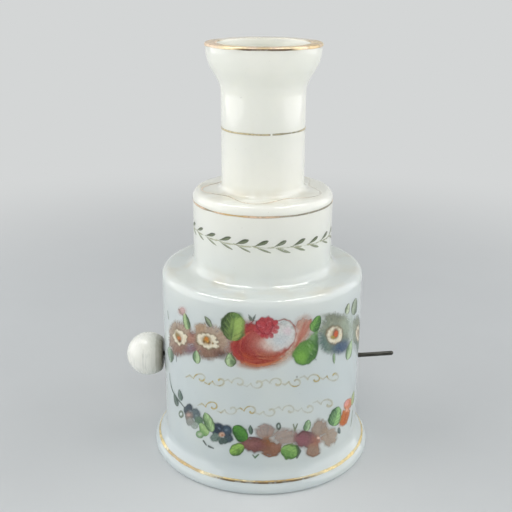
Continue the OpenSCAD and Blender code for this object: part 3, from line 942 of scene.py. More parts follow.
def folded_leaf(c):
    """The broad leaf right of the rose, one bent stroke that is dark along its outer side."""
    bent = [(316.5, 332.5), (313.5, 339.0), (310.0, 346.0)]
    c.draw(bent, (2.2, 5.0, 7.0), "6a9a54", soft=4.0, strength=0.7)
    c.touch((306.0, 352.8), 14.0, 10.8, "4a7438", lean=-42, soft=0.10, strength=0.92)
    c.touch((305.2, 353.0), 12.2, 9.2, "609240", lean=-42, soft=0.25, strength=0.92)
    outer = [(317.0, 337.0), (317.0, 345.0), (314.0, 353.5), (308.0, 360.5)]
    c.draw(outer, (1.2, 2.6, 3.4, 1.4), "3a6434", soft=3.6, strength=0.75)
    c.touch((301.3, 357.2), 5.4, 5.8, "76a944", lean=30, soft=0.55, strength=0.85)
    rng = np.random.default_rng(57)
    for k in range(FOLD_LINES):
        root = np.array((307.0 + 8.0 * rng.random(), 338.0 + 20.0 * rng.random()))
        bend = root + (1.6 * rng.random(), 1.5 + rng.random())
        tone = ("86a870", "34602f")[k % 2]
        c.draw([root, bend, bend + (1.5, 0.8)], (0.3, 0.6, 0.3), tone, soft=1.0, strength=0.45)


seen_leaf(upper, (231.0, 340.5), (235.0, 312.8), 12.4, "8aa858", "273f22", -1.0, 5, 0.48, 0.42)
upper.touch((239.0, 325.0), 5.0, 8.0, "9fbc64", soft=0.6, strength=0.7)
upper.touch((236.5, 315.5), 5.0, 2.6, "48703a", soft=0.7, strength=0.6)
folded_leaf(upper)
# stem, tip, half width, light, dark, dark side, veins, fullest, blunt
for looks in (
    ((312.5, 331.5), (320.0, 315.8), 4.9, "74ab52", "2f5a34", 1, 3, 0.4, 0.5),
    ((187.8, 329.5), (184.2, 313.0), 3.4, "a9c48e", "36563a", 1, 0, 0.4, 0.55),
    ((211.5, 327.0), (204.6, 316.2), 2.4, "93a284", "3d473c", -1, 0, 0.4, 0.7),
    ((196.2, 350.5), (196.5, 363.5), 4.0, "b3cd9e", "3f6846", 1, 0, 0.6, 0.5),
    ((229.5, 353.0), (230.5, 367.0), 5.6, "bcd6a4", "33532f", -1, 2, 0.62, 0.5),
    ((169.5, 347.5), (170.5, 362.5), 2.8, "a3bba3", "46604e", -1, 0, 0.4, 0.7),
    ((352.0, 340.0), (347.5, 360.0), 2.9, "bcd6ac", "4a6b4a", 1, 0, 0.6, 0.6),
    ((353.2, 314.5), (356.8, 298.5), 2.8, "aab8a2", "56664f", 1, 0, 0.4, 0.55),
    ((346.5, 314.0), (349.5, 303.5), 2.2, "c6d2b6", "5a6850", -1, 0, 0.4, 0.55),
    ((334.0, 353.5), (334.5, 364.0), 1.5, "a5c09a", "708a70", 1, 0, 0.4, 0.7),
):
    seen_leaf(upper, *looks)
upper.touch((181.5, 311.0), 3.6, 3.6, "dcb0ac", lean=30, soft=0.7, strength=0.7)
for path, width, tone in (
    ([(178.6, 309.5), (180.5, 312.5), (183.0, 315.5)], 0.8, "7d6a5c"),
    ([(248.5, 315.0), (251.0, 318.5), (252.5, 321.0)], 1.1, "5f6c5e"),
    ([(255.5, 314.8), (254.0, 318.0), (252.5, 321.0)], 1.1, "56645a"),
    ([(249.0, 317.5), (250.5, 320.0), (253.0, 320.5)], 1.0, "69766a"),
    ([(167.3, 311.5), (168.2, 318.5)], 0.8, "69766a"),
    ([(176.5, 352.5), (176.0, 361.5)], 0.8, "8a949c"),
    ([(227.5, 352.5), (229.0, 354.5)], 0.7, "3f5a3c"),
    ([(232.0, 352.0), (231.0, 354.5)], 0.7, "3f5a3c"),
):
    upper.draw(path, (0.5, width, 0.45), tone, soft=1.0, strength=0.75)
upper.touch((216.4, 340.0), 1.2, 1.2, "5b5048", soft=0.5, strength=0.7)
upper.touch((297.0, 377.0), 0.9, 0.9, "7b7f85", soft=0.5, strength=0.5)
print("upper garland covers", round(float((upper.cover > LEAST_COVER).mean()), 3), "of its canvas")

# %% [markdown]
# The lower garland is a swag that rises at both ends: a dark tendril and small blue flowers on
# the left, two mauve flowers in the middle and an orange one on the right. Their petals are
# thin washes with veins, which plain dabs don't show. So a petal has its own brush: a wash that
# is darkest towards its edge, streaked by noise round the flower's heart.

# %% Lower garland: petals
lower = wall_canvas(DRUM_R, -SIDE, SIDE, low=7.4, high=33.0, step=GRID, seed=41)
VEINS = 14


def washed_petal(c, heart, middle, half_u, half_v, tone, line, lean, strength):
    """A thin petal, darkest near its edge, with fine veins that run out from the flower's heart."""
    pixel, middle, heart = c.pixel(middle), c.at(middle), c.at(heart)
    spots = c.near([middle], 1.5 * max(half_u, half_v) * np.abs(pixel).sum(axis=1))
    reach = np.hypot(*c.across(middle, half_u, half_v, lean, spots, pixel)) + c.edge[spots] * 0.3
    bearing = np.arctan2(c.v[spots] - heart[1], c.u[spots] - heart[0])
    ring = VEINS * np.cos(bearing) + 20, VEINS * np.sin(bearing) + 20
    veins = lattice_noise(*ring, 1.0, int(abs(middle[0])))
    wash = 1 - ease(reach, 0.66, 1.16)
    c.lay(wash, shade(tone) * (0.84 + 0.32 * veins[..., None]), strength, spots)
    c.lay(wash * ease(reach, 0.45, 0.9) * ease(veins, 0.25, 0.75), shade(line), 0.55 * strength, spots)


MALLOW, HOLLYHOCK, BLUE, LITTLE = (267.0, 442.0), (318.0, 439.0), (221.8, 435.0), (190.5, 415.0)
# heart, middle, half width, half height, wash, line, lean, strength
for looks in (
    (MALLOW, (265.0, 431.5), 9.8, 7.8, "a98e82", "826c64", -10, 0.62),
    (MALLOW, (285.5, 437.0), 14.6, 9.2, "aa9082", "867066", 6, 0.6),
    (MALLOW, (253.5, 445.0), 13.0, 8.2, "7e4e48", "4e2c2c", 8, 0.92),
    (MALLOW, (270.5, 449.5), 11.4, 7.6, "8c6048", "62402c", -6, 0.9),
    (HOLLYHOCK, (319.5, 428.5), 8.0, 9.6, "a68e7c", "7e6a5c", 28, 0.68),
    (HOLLYHOCK, (330.0, 436.5), 8.0, 10.2, "b69c86", "8a7660", 16, 0.62),
    (HOLLYHOCK, (306.0, 439.5), 12.4, 9.0, "875a5c", "583638", 10, 0.92),
    (HOLLYHOCK, (313.5, 450.0), 8.0, 7.0, "a4826c", "765640", -20, 0.8),
    (BLUE, (217.2, 429.2), 6.6, 6.2, "223448", "182634", 20, 0.94),
    (BLUE, (226.8, 431.0), 6.0, 5.8, "34485a", "22323e", -20, 0.94),
    (BLUE, (228.4, 438.4), 5.0, 4.8, "384a54", "24323a", 20, 0.92),
    (BLUE, (222.6, 441.0), 4.8, 4.0, "445852", "2c3c3a", 0, 0.9),
    (BLUE, (215.4, 437.8), 5.6, 4.6, "6a8076", "41554e", -20, 0.88),
    (LITTLE, (188.0, 409.6), 4.6, 5.6, "424e58", "2e3a44", 20, 0.9),
    (LITTLE, (195.4, 414.4), 4.8, 5.8, "5f6f74", "44545a", -10, 0.88),
    (LITTLE, (198.6, 420.8), 4.8, 4.6, "5e7c64", "3f5a48", 0, 0.86),
    (LITTLE, (194.4, 425.6), 3.8, 3.8, "a3b0a6", "7f8f84", 0, 0.7),
    (LITTLE, (188.6, 416.2), 4.2, 5.0, "8f827c", "5c5450", 0, 0.85),
    (LITTLE, (189.6, 421.8), 4.0, 4.2, "989c96", "4f5652", 0, 0.85),
):
    washed_petal(lower, *looks)
print("swag petals painted on", lower.cover.shape, "points")

# %% [markdown]
# The orange flower is two loaded dabs, and the hearts of the other flowers are smaller ones.
# They could be petals of the same kind, but these touches are opaque and have no veins. Fine
# lines then mark the edges that the painter drew.

# %% Lower garland: hearts and lines
for spot, half_u, half_v, tone, lean, soft, strength in (
    ((267.0, 442.0), 5.0, 4.4, "8f5a2c", 0, 0.8, 0.85), ((261.0, 446.0), 7.0, 3.8, "74404c", 0, 0.9, 0.5),
    ((252.0, 444.0), 6.5, 2.4, "966a66", 6, 0.9, 0.4), ((276.0, 446.5), 4.5, 2.4, "a07262", -8, 0.9, 0.4),
    ((317.0, 440.5), 4.6, 4.4, "a8705a", 0, 0.8, 0.75), ((318.6, 438.0), 1.4, 1.1, "f2d4c2", 0, 0.6, 0.9),
    ((302.5, 440.0), 5.0, 4.4, "985a6c", 0, 0.9, 0.5), ((345.2, 417.0), 4.0, 9.4, "ca6c24", 22, 0.3, 0.92),
    ((348.6, 404.5), 3.2, 5.8, "e08a62", 24, 0.35, 0.92),
    ((346.8, 403.0), 1.9, 3.4, "eba49a", 24, 0.5, 0.85),
    ((347.2, 410.5), 1.8, 1.5, "f0c0a8", 0, 0.6, 0.6), ((221.4, 434.8), 2.8, 2.4, "d6ae96", 0, 0.5, 0.9),
    ((222.2, 435.4), 1.1, 1.0, "8c5638", 0, 0.5, 0.9), ((188.4, 415.0), 1.7, 1.4, "c8a69c", 0, 0.6, 0.8),
    ((219.0, 428.6), 1.6, 1.0, "7d8ea0", 30, 0.7, 0.5), ((226.2, 430.2), 1.5, 1.0, "8296a4", -20, 0.7, 0.5),
    ((190.0, 411.0), 1.3, 0.9, "8f9aa0", 30, 0.7, 0.5), ((196.0, 416.0), 1.2, 0.9, "93a3a0", 30, 0.7, 0.5),
):
    lower.touch(spot, half_u, half_v, tone, lean, soft, strength, ragged=0.35)
for path, width, tone in (
    ([(243.0, 440.5), (250.0, 437.6), (259.0, 438.6), (266.0, 441.5)], 0.8, "64383e"),
    ([(262.0, 453.5), (269.0, 456.8), (278.0, 455.0)], 0.8, "8a5a3a"),
    ([(258.0, 427.0), (265.0, 424.6), (272.5, 427.5)], 0.6, "a0908c"),
    ([(297.0, 436.0), (303.0, 431.5), (312.0, 433.0)], 0.8, "5f3a40"),
    ([(307.0, 454.0), (313.0, 456.5), (320.0, 453.0)], 0.7, "84604a"),
    ([(325.0, 427.5), (328.5, 436.0), (327.0, 445.0)], 0.6, "9a8470"),
    ([(347.5, 411.0), (345.5, 418.0), (342.5, 426.0)], 1.0, "b04a20"),
    ([(349.5, 413.0), (348.0, 420.0)], 0.8, "c0562a"),
    ([(350.0, 400.5), (349.0, 406.5)], 0.8, "c4673a"),
    ([(219.5, 432.0), (217.0, 428.0)], 0.5, "26323f"),
    ([(224.5, 433.5), (227.0, 435.5), (230.5, 435.0)], 0.5, "26323f"),
    ([(219.5, 437.0), (217.0, 439.5)], 0.5, "33463f"),
):
    lower.draw(path, (0.4, width, 0.4), tone, soft=1.0, strength=0.7)
print("swag flowers cover", round(float((lower.cover > LEAST_COVER).mean()), 3), "of the canvas")

# %% [markdown]
# Leaves and marks of the swag follow, with the same brushes as above. A ring bud could be a
# dab with a hole, but the painter drew it as a closed line, which a loop of points gives.

# %% Lower garland: leaves and marks
LOOP = 13


def ring_bud(c, middle, half_u, half_v, tone, width):
    """A closed line round a pixel."""
    turns = np.linspace(0, 2 * math.pi, LOOP)
    loop = np.stack((middle[0] + half_u * np.cos(turns), middle[1] + half_v * np.sin(turns)), axis=-1)
    c.draw(loop, width, tone, soft=0.9, strength=0.75)


# stem, tip, half width, light, dark, dark side, veins, fullest, blunt
for looks in (
    ((208.0, 434.5), (199.0, 424.0), 4.6, "a6c888", "6f9c5a", -1, 0, 0.4, 0.5),
    ((212.0, 432.0), (204.6, 412.8), 4.8, "aacb92", "3f6640", -1, 3, 0.45, 0.55),
    ((246.5, 440.0), (233.5, 426.5), 6.8, "4f9030", "285a22", -1, 4, 0.45, 0.45),
    ((243.5, 446.0), (230.0, 453.6), 6.0, "94c258", "34592a", -1, 3, 0.5, 0.42),
    ((281.5, 449.0), (298.0, 454.0), 8.0, "8cb864", "4f823a", 1, 3, 0.5, 0.42),
    ((306.5, 431.0), (308.5, 420.0), 3.6, "b0cfa2", "3f6a46", -1, 1, 0.4, 0.55),
    ((333.0, 426.0), (338.8, 406.8), 6.0, "9ccd84", "244f3c", -1, 5, 0.42, 0.5),
    ((177.6, 406.2), (173.4, 393.2), 2.0, "6c7c74", "42544e", 1, 0, 0.4, 0.7),
    ((180.6, 400.8), (178.8, 389.4), 2.2, "7c8e86", "4c5f58", 1, 0, 0.4, 0.7),
    ((251.0, 434.8), (250.2, 425.2), 2.2, "5f7768", "2f443c", 1, 0, 0.4, 0.7),
    ((352.0, 405.0), (354.5, 391.0), 1.3, "bcca8e", "93a06e", 1, 0, 0.4, 0.7),
    ((338.0, 428.0), (340.4, 433.4), 1.9, "7b8a86", "43544f", 1, 0, 0.5, 0.7),
):
    seen_leaf(lower, *looks)
TENDRIL = [(169.3, 374.0), (169.8, 381.0), (171.6, 389.0), (175.0, 396.5), (179.8, 402.0), (185.5, 409.5)]
for path, width, tone in (
    ([(297.0, 446.5), (299.2, 451.5), (297.0, 457.5)], 2.2, "33502f"),
    (TENDRIL, 0.8, "586a5e"),
    ([(170.6, 385.5), (172.2, 391.0)], 1.1, "52645c"),
    ([(203.3, 441.2), (206.0, 445.2)], 1.5, "4f5f58"),
    ([(208.2, 446.4), (213.0, 448.4)], 1.6, "4a5a54"),
    ([(252.8, 455.2), (255.0, 457.8), (258.6, 454.6)], 1.0, "4f7a4a"),
    ([(293.4, 424.6), (295.0, 430.5), (297.4, 424.2)], 0.9, "7a866a"),
    ([(352.8, 411.0), (352.0, 420.0), (351.0, 426.0)], 0.6, "7a8468"),
    ([(178.8, 443.0), (179.4, 444.5)], 0.6, "6f9080"),
    ([(184.6, 450.8), (185.2, 452.0)], 0.6, "6f9080"),
):
    lower.draw(path, (width * 0.6, width, width * 0.5), tone, soft=1.0, strength=0.8)
lower.touch((199.6, 434.4), 3.0, 2.5, "b6cfa4", soft=0.5, strength=0.6)
ring_bud(lower, (180.7, 414.3), 2.0, 2.8, "7d8c78", 0.8)
ring_bud(lower, (199.6, 434.6), 3.4, 2.9, "6f9a62", 0.9)
ring_bud(lower, (278.6, 426.4), 1.7, 2.8, "41594a", 0.9)
print("lower garland covers", round(float((lower.cover > LEAST_COVER).mean()), 3), "of its canvas")

# %% [markdown]
# Between the garlands stand fine gilt scrolls, nearly rubbed away: two rows of curls, each
# with a short tail. A curve for each one could be drawn by hand, but a shrinking spiral gives
# them all. The curls follow a sagging line, to either side of it in turn, and a slow noise rubs
# parts of them out.

# %% Gilt scrolls between the garlands
scrolls = wall_canvas(DRUM_R, -29.0, 29.0, low=18.5, high=41.0, step=GRID, seed=61)
CURL_W, CURL_H = 7.2, 6.0
SPIRAL = np.linspace(0, 1.75 * math.pi, 18)
SHRINK = np.linspace(1.0, 0.22, 18)
SAG = 8.0


def scroll_row(c, left, right, curls, tone):
    """A row of curls to either side of a sagging line between two pixels."""
    left, right = np.array(left), np.array(right)
    for k in range(curls):
        t = (k + 0.5) / curls
        base = left + (right - left) * t + (0, SAG * 4 * t * (1 - t))
        way = 1 if k % 2 else -1
        u, v = base[0] - CURL_W * np.cos(SPIRAL) * SHRINK, base[1] + way * CURL_H * np.sin(SPIRAL) * SHRINK
        c.draw(np.stack((u, v), axis=-1), (0.5, 1.05), tone, soft=1.0, strength=0.85)
        tail = [base + (-CURL_W, 0), base + (-11.0, way * 3.2), base + (-15.5, way * 1.2)]
        c.draw(tail, (0.5, 0.75, 0.3), tone, soft=1.0, strength=0.7)


scroll_row(scrolls, (191.0, 377.0), (344.0, 374.0), 8, "d2bd6a")
scroll_row(scrolls, (203.0, 405.0), (338.0, 402.0), 7, "d2bd70")
rubbed = 0.38 + 0.55 * ease(lattice_noise(scrolls.u, scrolls.v, 16.0, 63), 0.3, 0.75)
scrolls.cover *= rubbed * (0.55 + 0.45 * lattice_noise(scrolls.u, scrolls.v, 2.5, 64))
print("scrolls keep a cover of up to", round(float(scrolls.cover.max()), 2))

# %% [markdown]
# A vine of laurel runs round the collar. Its leaves come in pairs along a thin stem, a fat one
# above and a thin one below, and the pairs differ a little as a brush makes them differ. One
# pair could be made once and copied, but copies show. So each pair is painted with its own
# seed. The vine goes all the way round, so it is laid out in millimetres on the collar itself,
# and the pairs that cross the seam at the back are painted at both ends of the canvas.

# %% Laurel vine
COLLAR_SIDE = COLLAR_R * math.pi
FINE_GRID = 0.12
vine = wall_canvas(COLLAR_R, -COLLAR_SIDE, COLLAR_SIDE, low=63.5, high=74.0, step=FINE_GRID, seed=71,
                   scale=(1, 1))
VINE_Z, VINE_DRIFT, PAIRS, FIRST_PAIR = 68.6, 0.9, 24, -2.4
vine.grain = lattice_noise(vine.u, vine.v, 0.6, 72)
vine.edge = (lattice_noise(vine.u, vine.v, 0.9, 73) - 0.5) * 0.6
pitch = 2 * COLLAR_SIDE / PAIRS


def laurel_pair(c, x, seed):
    """A stretch of stem, the fat leaf above it and the thin one below."""
    more = np.random.default_rng(seed).random(7)
    x_next = x + pitch * 0.9
    low, low_next = (VINE_DRIFT * math.sin(a / COLLAR_R) - VINE_Z for a in (x, x_next))
    dryness = 0.6 + 0.4 * more[0]
    c.stroke([(x - 0.2, low), ((x + x_next) / 2, low + 0.3), (x_next, low_next + 0.1)],
             (0.13, 0.16, 0.10), "b3b795", soft=0.3, strength=0.6)
    tip = x + 3.7 + 0.7 * more[1], low - 1.3 - 0.5 * more[2]
    leaf(c, (x, low), tip, 0.45 + 0.12 * more[3], "737f62", "38442f", -1.0, fullest=0.7,
         strength=dryness)
    tip = x + 4.4 + 0.7 * more[4], low + 1.5 + 0.5 * more[5]
    leaf(c, (x + 0.6, low + 0.2), tip, 0.24 + 0.12 * more[6], "98a283", "6a7658", 1.0, fullest=0.6,
         strength=0.8 * dryness)


for k in range(PAIRS):
    x = (FIRST_PAIR + k * pitch + COLLAR_SIDE) % (2 * COLLAR_SIDE) - COLLAR_SIDE
    laurel_pair(vine, x, 74 + k)
    if x + 2 * pitch > COLLAR_SIDE:
        laurel_pair(vine, x - 2 * COLLAR_SIDE, 74 + k)
print(PAIRS, "pairs of leaves,", round(pitch, 2), "mm apart")

# %% [markdown]
# The drum's back isn't shown in the photograph. New flowers could be painted for it, but the
# same two garlands, turned by half a turn, meet the front ones at the sides. A copy of the
# film's mesh is turned, not the object, because each piece keeps the box's own frame. The blown
# wall wavers differently at the back, so the copy is moved out or in to lie on it there.

# %% Films on the glass
def laid(name, canvas, finish=ENAMEL):
    """The film of a painted canvas, its tones a little uneven."""
    uneven = 0.91 + 0.18 * lattice_noise(canvas.u, canvas.v, 1.4, 7)[..., None]
    made = film(name, canvas.points, canvas.colour * uneven, canvas.cover, canvas.outward, canvas.flat)
    made.data.materials.append(finish)
    return made


def half_turned(front, name):
    """The same film on the other side of the case."""
    mesh = front.data.copy()
    mesh.name = name
    places = np.empty(3 * len(mesh.vertices))
    mesh.vertices.foreach_get("co", places)
    x, y, z = places.reshape(-1, 3).T
    angle = np.arctan2(x, -y)
    grow = 1 + (blown(angle + math.pi, z / MM) - blown(angle, z / MM)) * MM / np.hypot(x, y)
    mesh.vertices.foreach_set("co", np.stack((-x * grow, -y * grow, z), axis=-1).ravel())
    back = placed(name, mesh)
    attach(back, "case")


for name, canvas in (("upper_garland", upper), ("lower_garland", lower)):
    front = laid(name + "_front", canvas)
    half_turned(front, name + "_back")
    print(front.name, len(front.data.polygons), "faces")
vine_film = laid("laurel_vine", vine)
print(vine_film.name, len(vine_film.data.polygons), "faces")


# %% [markdown]
# Gilt lines run round the lip, the neck, the collar and the foot. A ring of wire would stand
# too proud. Each line is a film as the enamel is. It needs a grid that follows a stretch of the
# profile, so that it bends over the lip and round the shoulder with the glass.

# %% Grid of a gilt band
BAND_STEP = 0.08
BAND_AROUND = 900


def profile_stretch(low_z, high_z, from_r):
    """Evenly spaced (radius, height) points and outward ways of the outside between two heights."""
    path = case_outline[:len(rounded(OUTSIDE))]
    steps = np.concatenate(([0], np.cumsum(np.linalg.norm(np.diff(path, axis=0), axis=1))))
    even = np.arange(0, steps[-1], BAND_STEP)
    r, z = np.interp(even, steps, path[:, 0]), np.interp(even, steps, path[:, 1])
    inside = (z >= low_z) & (z <= high_z) & (r >= from_r)
    slope = np.stack((np.gradient(z), -np.gradient(r)), axis=-1)
    slope /= np.linalg.norm(slope, axis=1)[:, None]
    return r[inside], z[inside], slope[inside]


def turned_out(r, z, angle):
    """Grid of points, or of ways, from radii and heights at angles from the front."""
    return np.stack((r * np.sin(angle), -r * np.cos(angle), z + 0 * angle), axis=-1)


def band_grid(r, z, ways):
    """Points, outward ways, angles and flat map of a band all round."""
    angle = np.tile(np.linspace(-math.pi, math.pi, BAND_AROUND), (len(r), 1))
    r, z, across = r[:, None], z[:, None], np.linspace(0, 1, len(r))[:, None]
    points = turned_out(r + blown(angle, z), z, angle)
    flat = np.stack(((angle / math.pi + 1) / 2, across + 0 * angle), axis=-1)
    return points, turned_out(ways[:, :1], ways[:, 1:], angle), angle, flat


NECK_SPAN = (96.0, 98.2, NECK_R - 1)
COLLAR_SPAN = (75.7, 78.0, COLLAR_R - 1)
FOOT_SPAN = (2.2, 5.2, DRUM_R)
LIP_SPAN = (RIM_Z - 1.4, RIM_Z, RIM_R - LIP_W)
print("rows of the lip's grid:", len(profile_stretch(*LIP_SPAN)[0]))


# %% [markdown]
# Gilding is gold rubbed on in a thin film and fired. A bright metal would look new, so it is
# only a quarter metallic, with a grain in its colour and its gloss. Its cover is the alpha, so
# that the white shows where the gold is rubbed away.

# %% Gilding
def gilt():
    f = Finish("worn_gilding")
    colour, cover = film_paint(f, "Color"), film_paint(f, "Alpha")
    grain = f.noise(f.place(), 2.6, 4.0, 0.65)
    rubbed_gold = f.mix(f.between(grain, 0.35, 0.8) * 0.15, colour, tint("b89860"))
    rough = 0.26 + f.between(grain, 0.3, 0.8) * 0.22
    return f.done(Base_Color=rubbed_gold, Alpha=cover, Roughness=rough, Metallic=0.25,
                  Normal=f.bump(grain, 0.3, 0.04))


GILT = gilt()
print("finish:", GILT.name)


# %% [markdown]
# Old gilding is worn unevenly: rubbed through in spots and thinner here and there. The lines on
# the lip and the foot are also darker along their lower edge, round the front only. A noise in
# the material alone would wear all lines alike. So each band gets its cover and its tones from
# seeded noise along its own length, and a function of the angle says what is kept where.

# %% Gilt bands
def everywhere(angle):
    return np.ones_like(angle)


def nowhere(angle):
    return np.zeros_like(angle)


def gilt_band(name, span, middle, half, tones, wear, seed, kept=everywhere, drift=nowhere, dark=nowhere):
    """A worn gilt line on a span of the profile (low z, high z, least radius). Its middle and half
    width are measured along the profile. kept, drift and dark depend on the angle round the case."""
    r, z, ways = profile_stretch(*span)
    points, outward, angle, flat = band_grid(r, z, ways)
    along = np.concatenate(([0], np.cumsum(np.hypot(np.diff(r), np.diff(z)))))[:, None] - drift(angle)
    round_way = angle * r.max()
    hand = 0.08 * (lattice_noise(round_way, 0 * along, 5.0, seed) - 0.5)
    thin = half + 0.12 * (lattice_noise(round_way, 0 * along, 3.7, seed + 4) - 0.6)
    worn = 0.6 * lattice_noise(round_way, along, 3.2, seed + 1)
    worn = worn + 0.4 * lattice_noise(round_way, along, 0.6, seed + 2)
    far = np.abs(along - middle - hand) - thin
    cover = (1 - ease(far, -0.08, 0.05)) * (1 - wear * ease(worn, 0.3, 0.75))
    patch = lattice_noise(round_way, 0 * along, 8.0, seed + 3)[..., None]
    colour = shade(tones[0]) + (shade(tones[1]) - shade(tones[0])) * ease(patch, 0.25, 0.5)
    colour = colour + (shade(tones[2]) - colour) * ease(patch, 0.58, 0.75)
    # the band's lower edge is made darker where dark says so
    rim = (1 - ease(along - middle + half, 0.35, 0.65)) * dark(angle)
    colour = colour + (shade("4e3820") - colour) * (rim * 0.9)[..., None]
    made = film(name, points, colour, cover * kept(angle), outward, flat)
    made.data.materials.append(GILT)
    return made


def front_of_lip(angle):
    return 1 - 0.85 * ease(np.abs(angle), 1.45, 2.2)


# darker along a band's lower edge, round the front only
def dark_front_edge(angle):
    return 1 - ease(np.abs(angle - 0.04), 0.36, 0.6)


def old_scratch(angle):
    return 1 - np.exp(-((angle - 0.19) / 0.03) ** 2)


LIP_TONES = ("f2dcb2", "f4d9bc", "e8cb9a")
NECK_TONES = ("c6b890", "b3aa8a", "8f8a6e")
COLLAR_TONES = ("d8b87c", "e2c3a4", "8c8672")
FOOT_TONES = ("e2cb8c", "f0e0b4", "c3a468")
# name, span, middle, half width, tones, wear, seed
bands = [
    gilt_band("gilt_lip", LIP_SPAN, 3.0, 2.5, LIP_TONES, 0.3, 81, kept=front_of_lip, dark=dark_front_edge),
    gilt_band("gilt_neck_line", NECK_SPAN, 1.1, 0.24, NECK_TONES, 0.5, 85, kept=old_scratch),
    gilt_band("gilt_collar_line", COLLAR_SPAN, 1.15, 0.26, COLLAR_TONES, 0.45, 89),
    gilt_band("gilt_foot_line", FOOT_SPAN, 1.5, 0.45, FOOT_TONES, 0.5, 93, dark=dark_front_edge),
]
scroll_film = laid("gilt_scrolls", scrolls, GILT)
print("gilt films:", [len(made.data.polygons) for made in bands + [scroll_film]], "faces")

# %% [markdown]
# On the collar's flat shoulder a fine gilt line waves round between the neck and the edge. It
# could be a curve laid on the flat, but it is worn as the other lines are. So it is one more
# band of the profile, whose middle drifts in and out with the angle. At the right it is nearly
# rubbed away.

# %% Waving shoulder line
WAVES = 5
SHOULDER_SPAN = (COLLAR_TOP - 0.1, COLLAR_TOP + 1.8, NECK_R - SKIN - 0.1)


def rubbed_right(angle):
    return 1 - 0.8 * ease(np.abs(angle - 1.7), 1.0, 0.6)


def shoulder_wave(angle):
    return -1.9 * np.cos(WAVES * angle + 0.7)


WAVE_TONES = ("f0e2d0", "ecd8c0", "dfcbb0")
wave_line = gilt_band("gilt_shoulder_wave", SHOULDER_SPAN, 2.75, 0.32, WAVE_TONES, 0.6, 97,
                      kept=rubbed_right, drift=shoulder_wave)
print("shoulder wave has", len(wave_line.data.polygons), "faces")

# %% [markdown]
# The knob is a turned ball of white alabaster with a flat towards the glass. A ready-made
# sphere has no flat, no rounded edge there and no hole for the wire, so the ball gets a profile
# of its own. It is turned on the same lathe and then laid over, so that its axis is the
# spindle's.

# %% Knob
knob_low, knob_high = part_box("knob")
KNOB_R = (knob_high.z - knob_low.z) / 2 / MM
KNOB_X = knob_low.x / MM + KNOB_R
KNOB_FLAT = knob_high.x / MM - KNOB_X
GRIP_R, GRIP_BEVEL = 0.68, 0.25
EDGE_W = 1.3
TURNED_SIDES = 96
AXIS_R = 0.02  # an outline stops this far from its axis


def laid_over(points, x):
    """Turns points about Z into points about the spindle's axis, from x onwards."""
    return np.stack((points[:, 2] + x, points[:, 1], -points[:, 0] + SPINDLE_Z), axis=-1)


def ball_outline():
    """Half the ball's section, from its pole to the flat and back along the hole."""
    flat_angle = math.acos(KNOB_FLAT / KNOB_R)
    turn = np.linspace(math.pi - 0.02, flat_angle + 0.17, 60)
    ball = np.stack((np.sin(turn), np.cos(turn)), axis=-1) * (KNOB_R - 0.02)
    corner = np.array((KNOB_R * math.sin(flat_angle), KNOB_FLAT))
    t = np.linspace(0.1, 1.0, 10)[:, None]
    edge = (1 - t) ** 2 * ball[-1] + 2 * t * (1 - t) * corner + t ** 2 * (corner - (EDGE_W, 0))
    mouth = [(GRIP_R + GRIP_BEVEL, KNOB_FLAT), (GRIP_R, KNOB_FLAT - GRIP_BEVEL)]
    return np.concatenate((ball, edge, mouth, [(GRIP_R, 0.0), (AXIS_R, 0.0)]))


ball_points, ball_faces = turned(ball_outline(), TURNED_SIDES)
knob = piece("knob_ball", laid_over(ball_points, KNOB_X), ball_faces)
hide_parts("knob")
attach(knob, "picture_drum")
print("knob_ball, radius", round(KNOB_R, 2), "mm at x", round(KNOB_X, 2))


# %% [markdown]
# Alabaster is a soft white stone. A picture of stone would need a map on the ball, and noise in
# space needs none: one noise, stretched, is the grain that runs across the ball, one is its
# slow clouds, and very fine rings are left by the turning. A breath of light goes under the
# surface, and painted shade darkens the ball in three steps towards the glass, where the drum
# keeps the light off it.

# %% Alabaster
def alabaster():
    f = Finish("turned_alabaster")
    spot = f.place()
    grain = f.noise(f.stretched(spot, (0.9, 0.5, 0.08)), 0.9, 3.0, 0.55)
    cloud = f.noise(spot, 0.22, 2.0)
    rings = f.noise(f.stretched(spot, (6.0, 0.05, 0.05)), 1.0, 1.0)
    white = f.mix(f.between(cloud, 0.35, 0.7) * 0.5, tint("f7f7ef"), tint("ecede3"))
    white = f.mix(f.between(grain, 0.54, 0.70) * 0.42, white, tint("b4b8b0"))
    # painted shade: the ball is darkened in three steps towards the glass, where the drum keeps light off
    # it
    toward_glass = f.node("ShaderNodeSeparateXYZ", {}, {0: spot}, out="X") + cloud * 0.6
    steps = ((0.2, 2.8, 0.28), (2.7, 3.3, 0.34), (3.3, 4.8, 0.3))
    painted_drum_shade = [f.between(toward_glass, KNOB_X + low, KNOB_X + high) * share for low, high, share in steps]
    white = f.mix(painted_drum_shade[0] + painted_drum_shade[1] + painted_drum_shade[2], white, tint("7c7664"))
    rough = 0.22 + f.between(grain, 0.3, 0.7) * 0.12
    return f.done(Base_Color=white, Roughness=rough, IOR=1.52, Subsurface_Weight=0.25,
                  Subsurface_Radius=(1.0, 0.95, 0.85), Subsurface_Scale=1.6 * MM,
                  Normal=f.bump(rings, 0.15, 0.05))


knob.data.materials.append(alabaster())
print("knob finish:", knob.data.materials[0].name)

# %% [markdown]
# The spindle is plain iron wire. Its bare end is no longer quite straight: it was bent up a
# little over the years. A Blender curve with a bevel could be that, but its end would be flat.
# Rings of points along the wire give a domed end too, and the stretch inside the case stays
# straight on its axis, where the bushes hold it.

# %% Spindle wire
wire_low, wire_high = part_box("spindle")
WIRE_R = (wire_high.z - wire_low.z) / 2 / MM
END_R = WIRE_R - 0.05
BEND, BEND_SHAPE = 0.8, 1.1
WIRE_SIDES, WIRE_SHARP = 24, 50
BARE = DRUM_R + 0.3


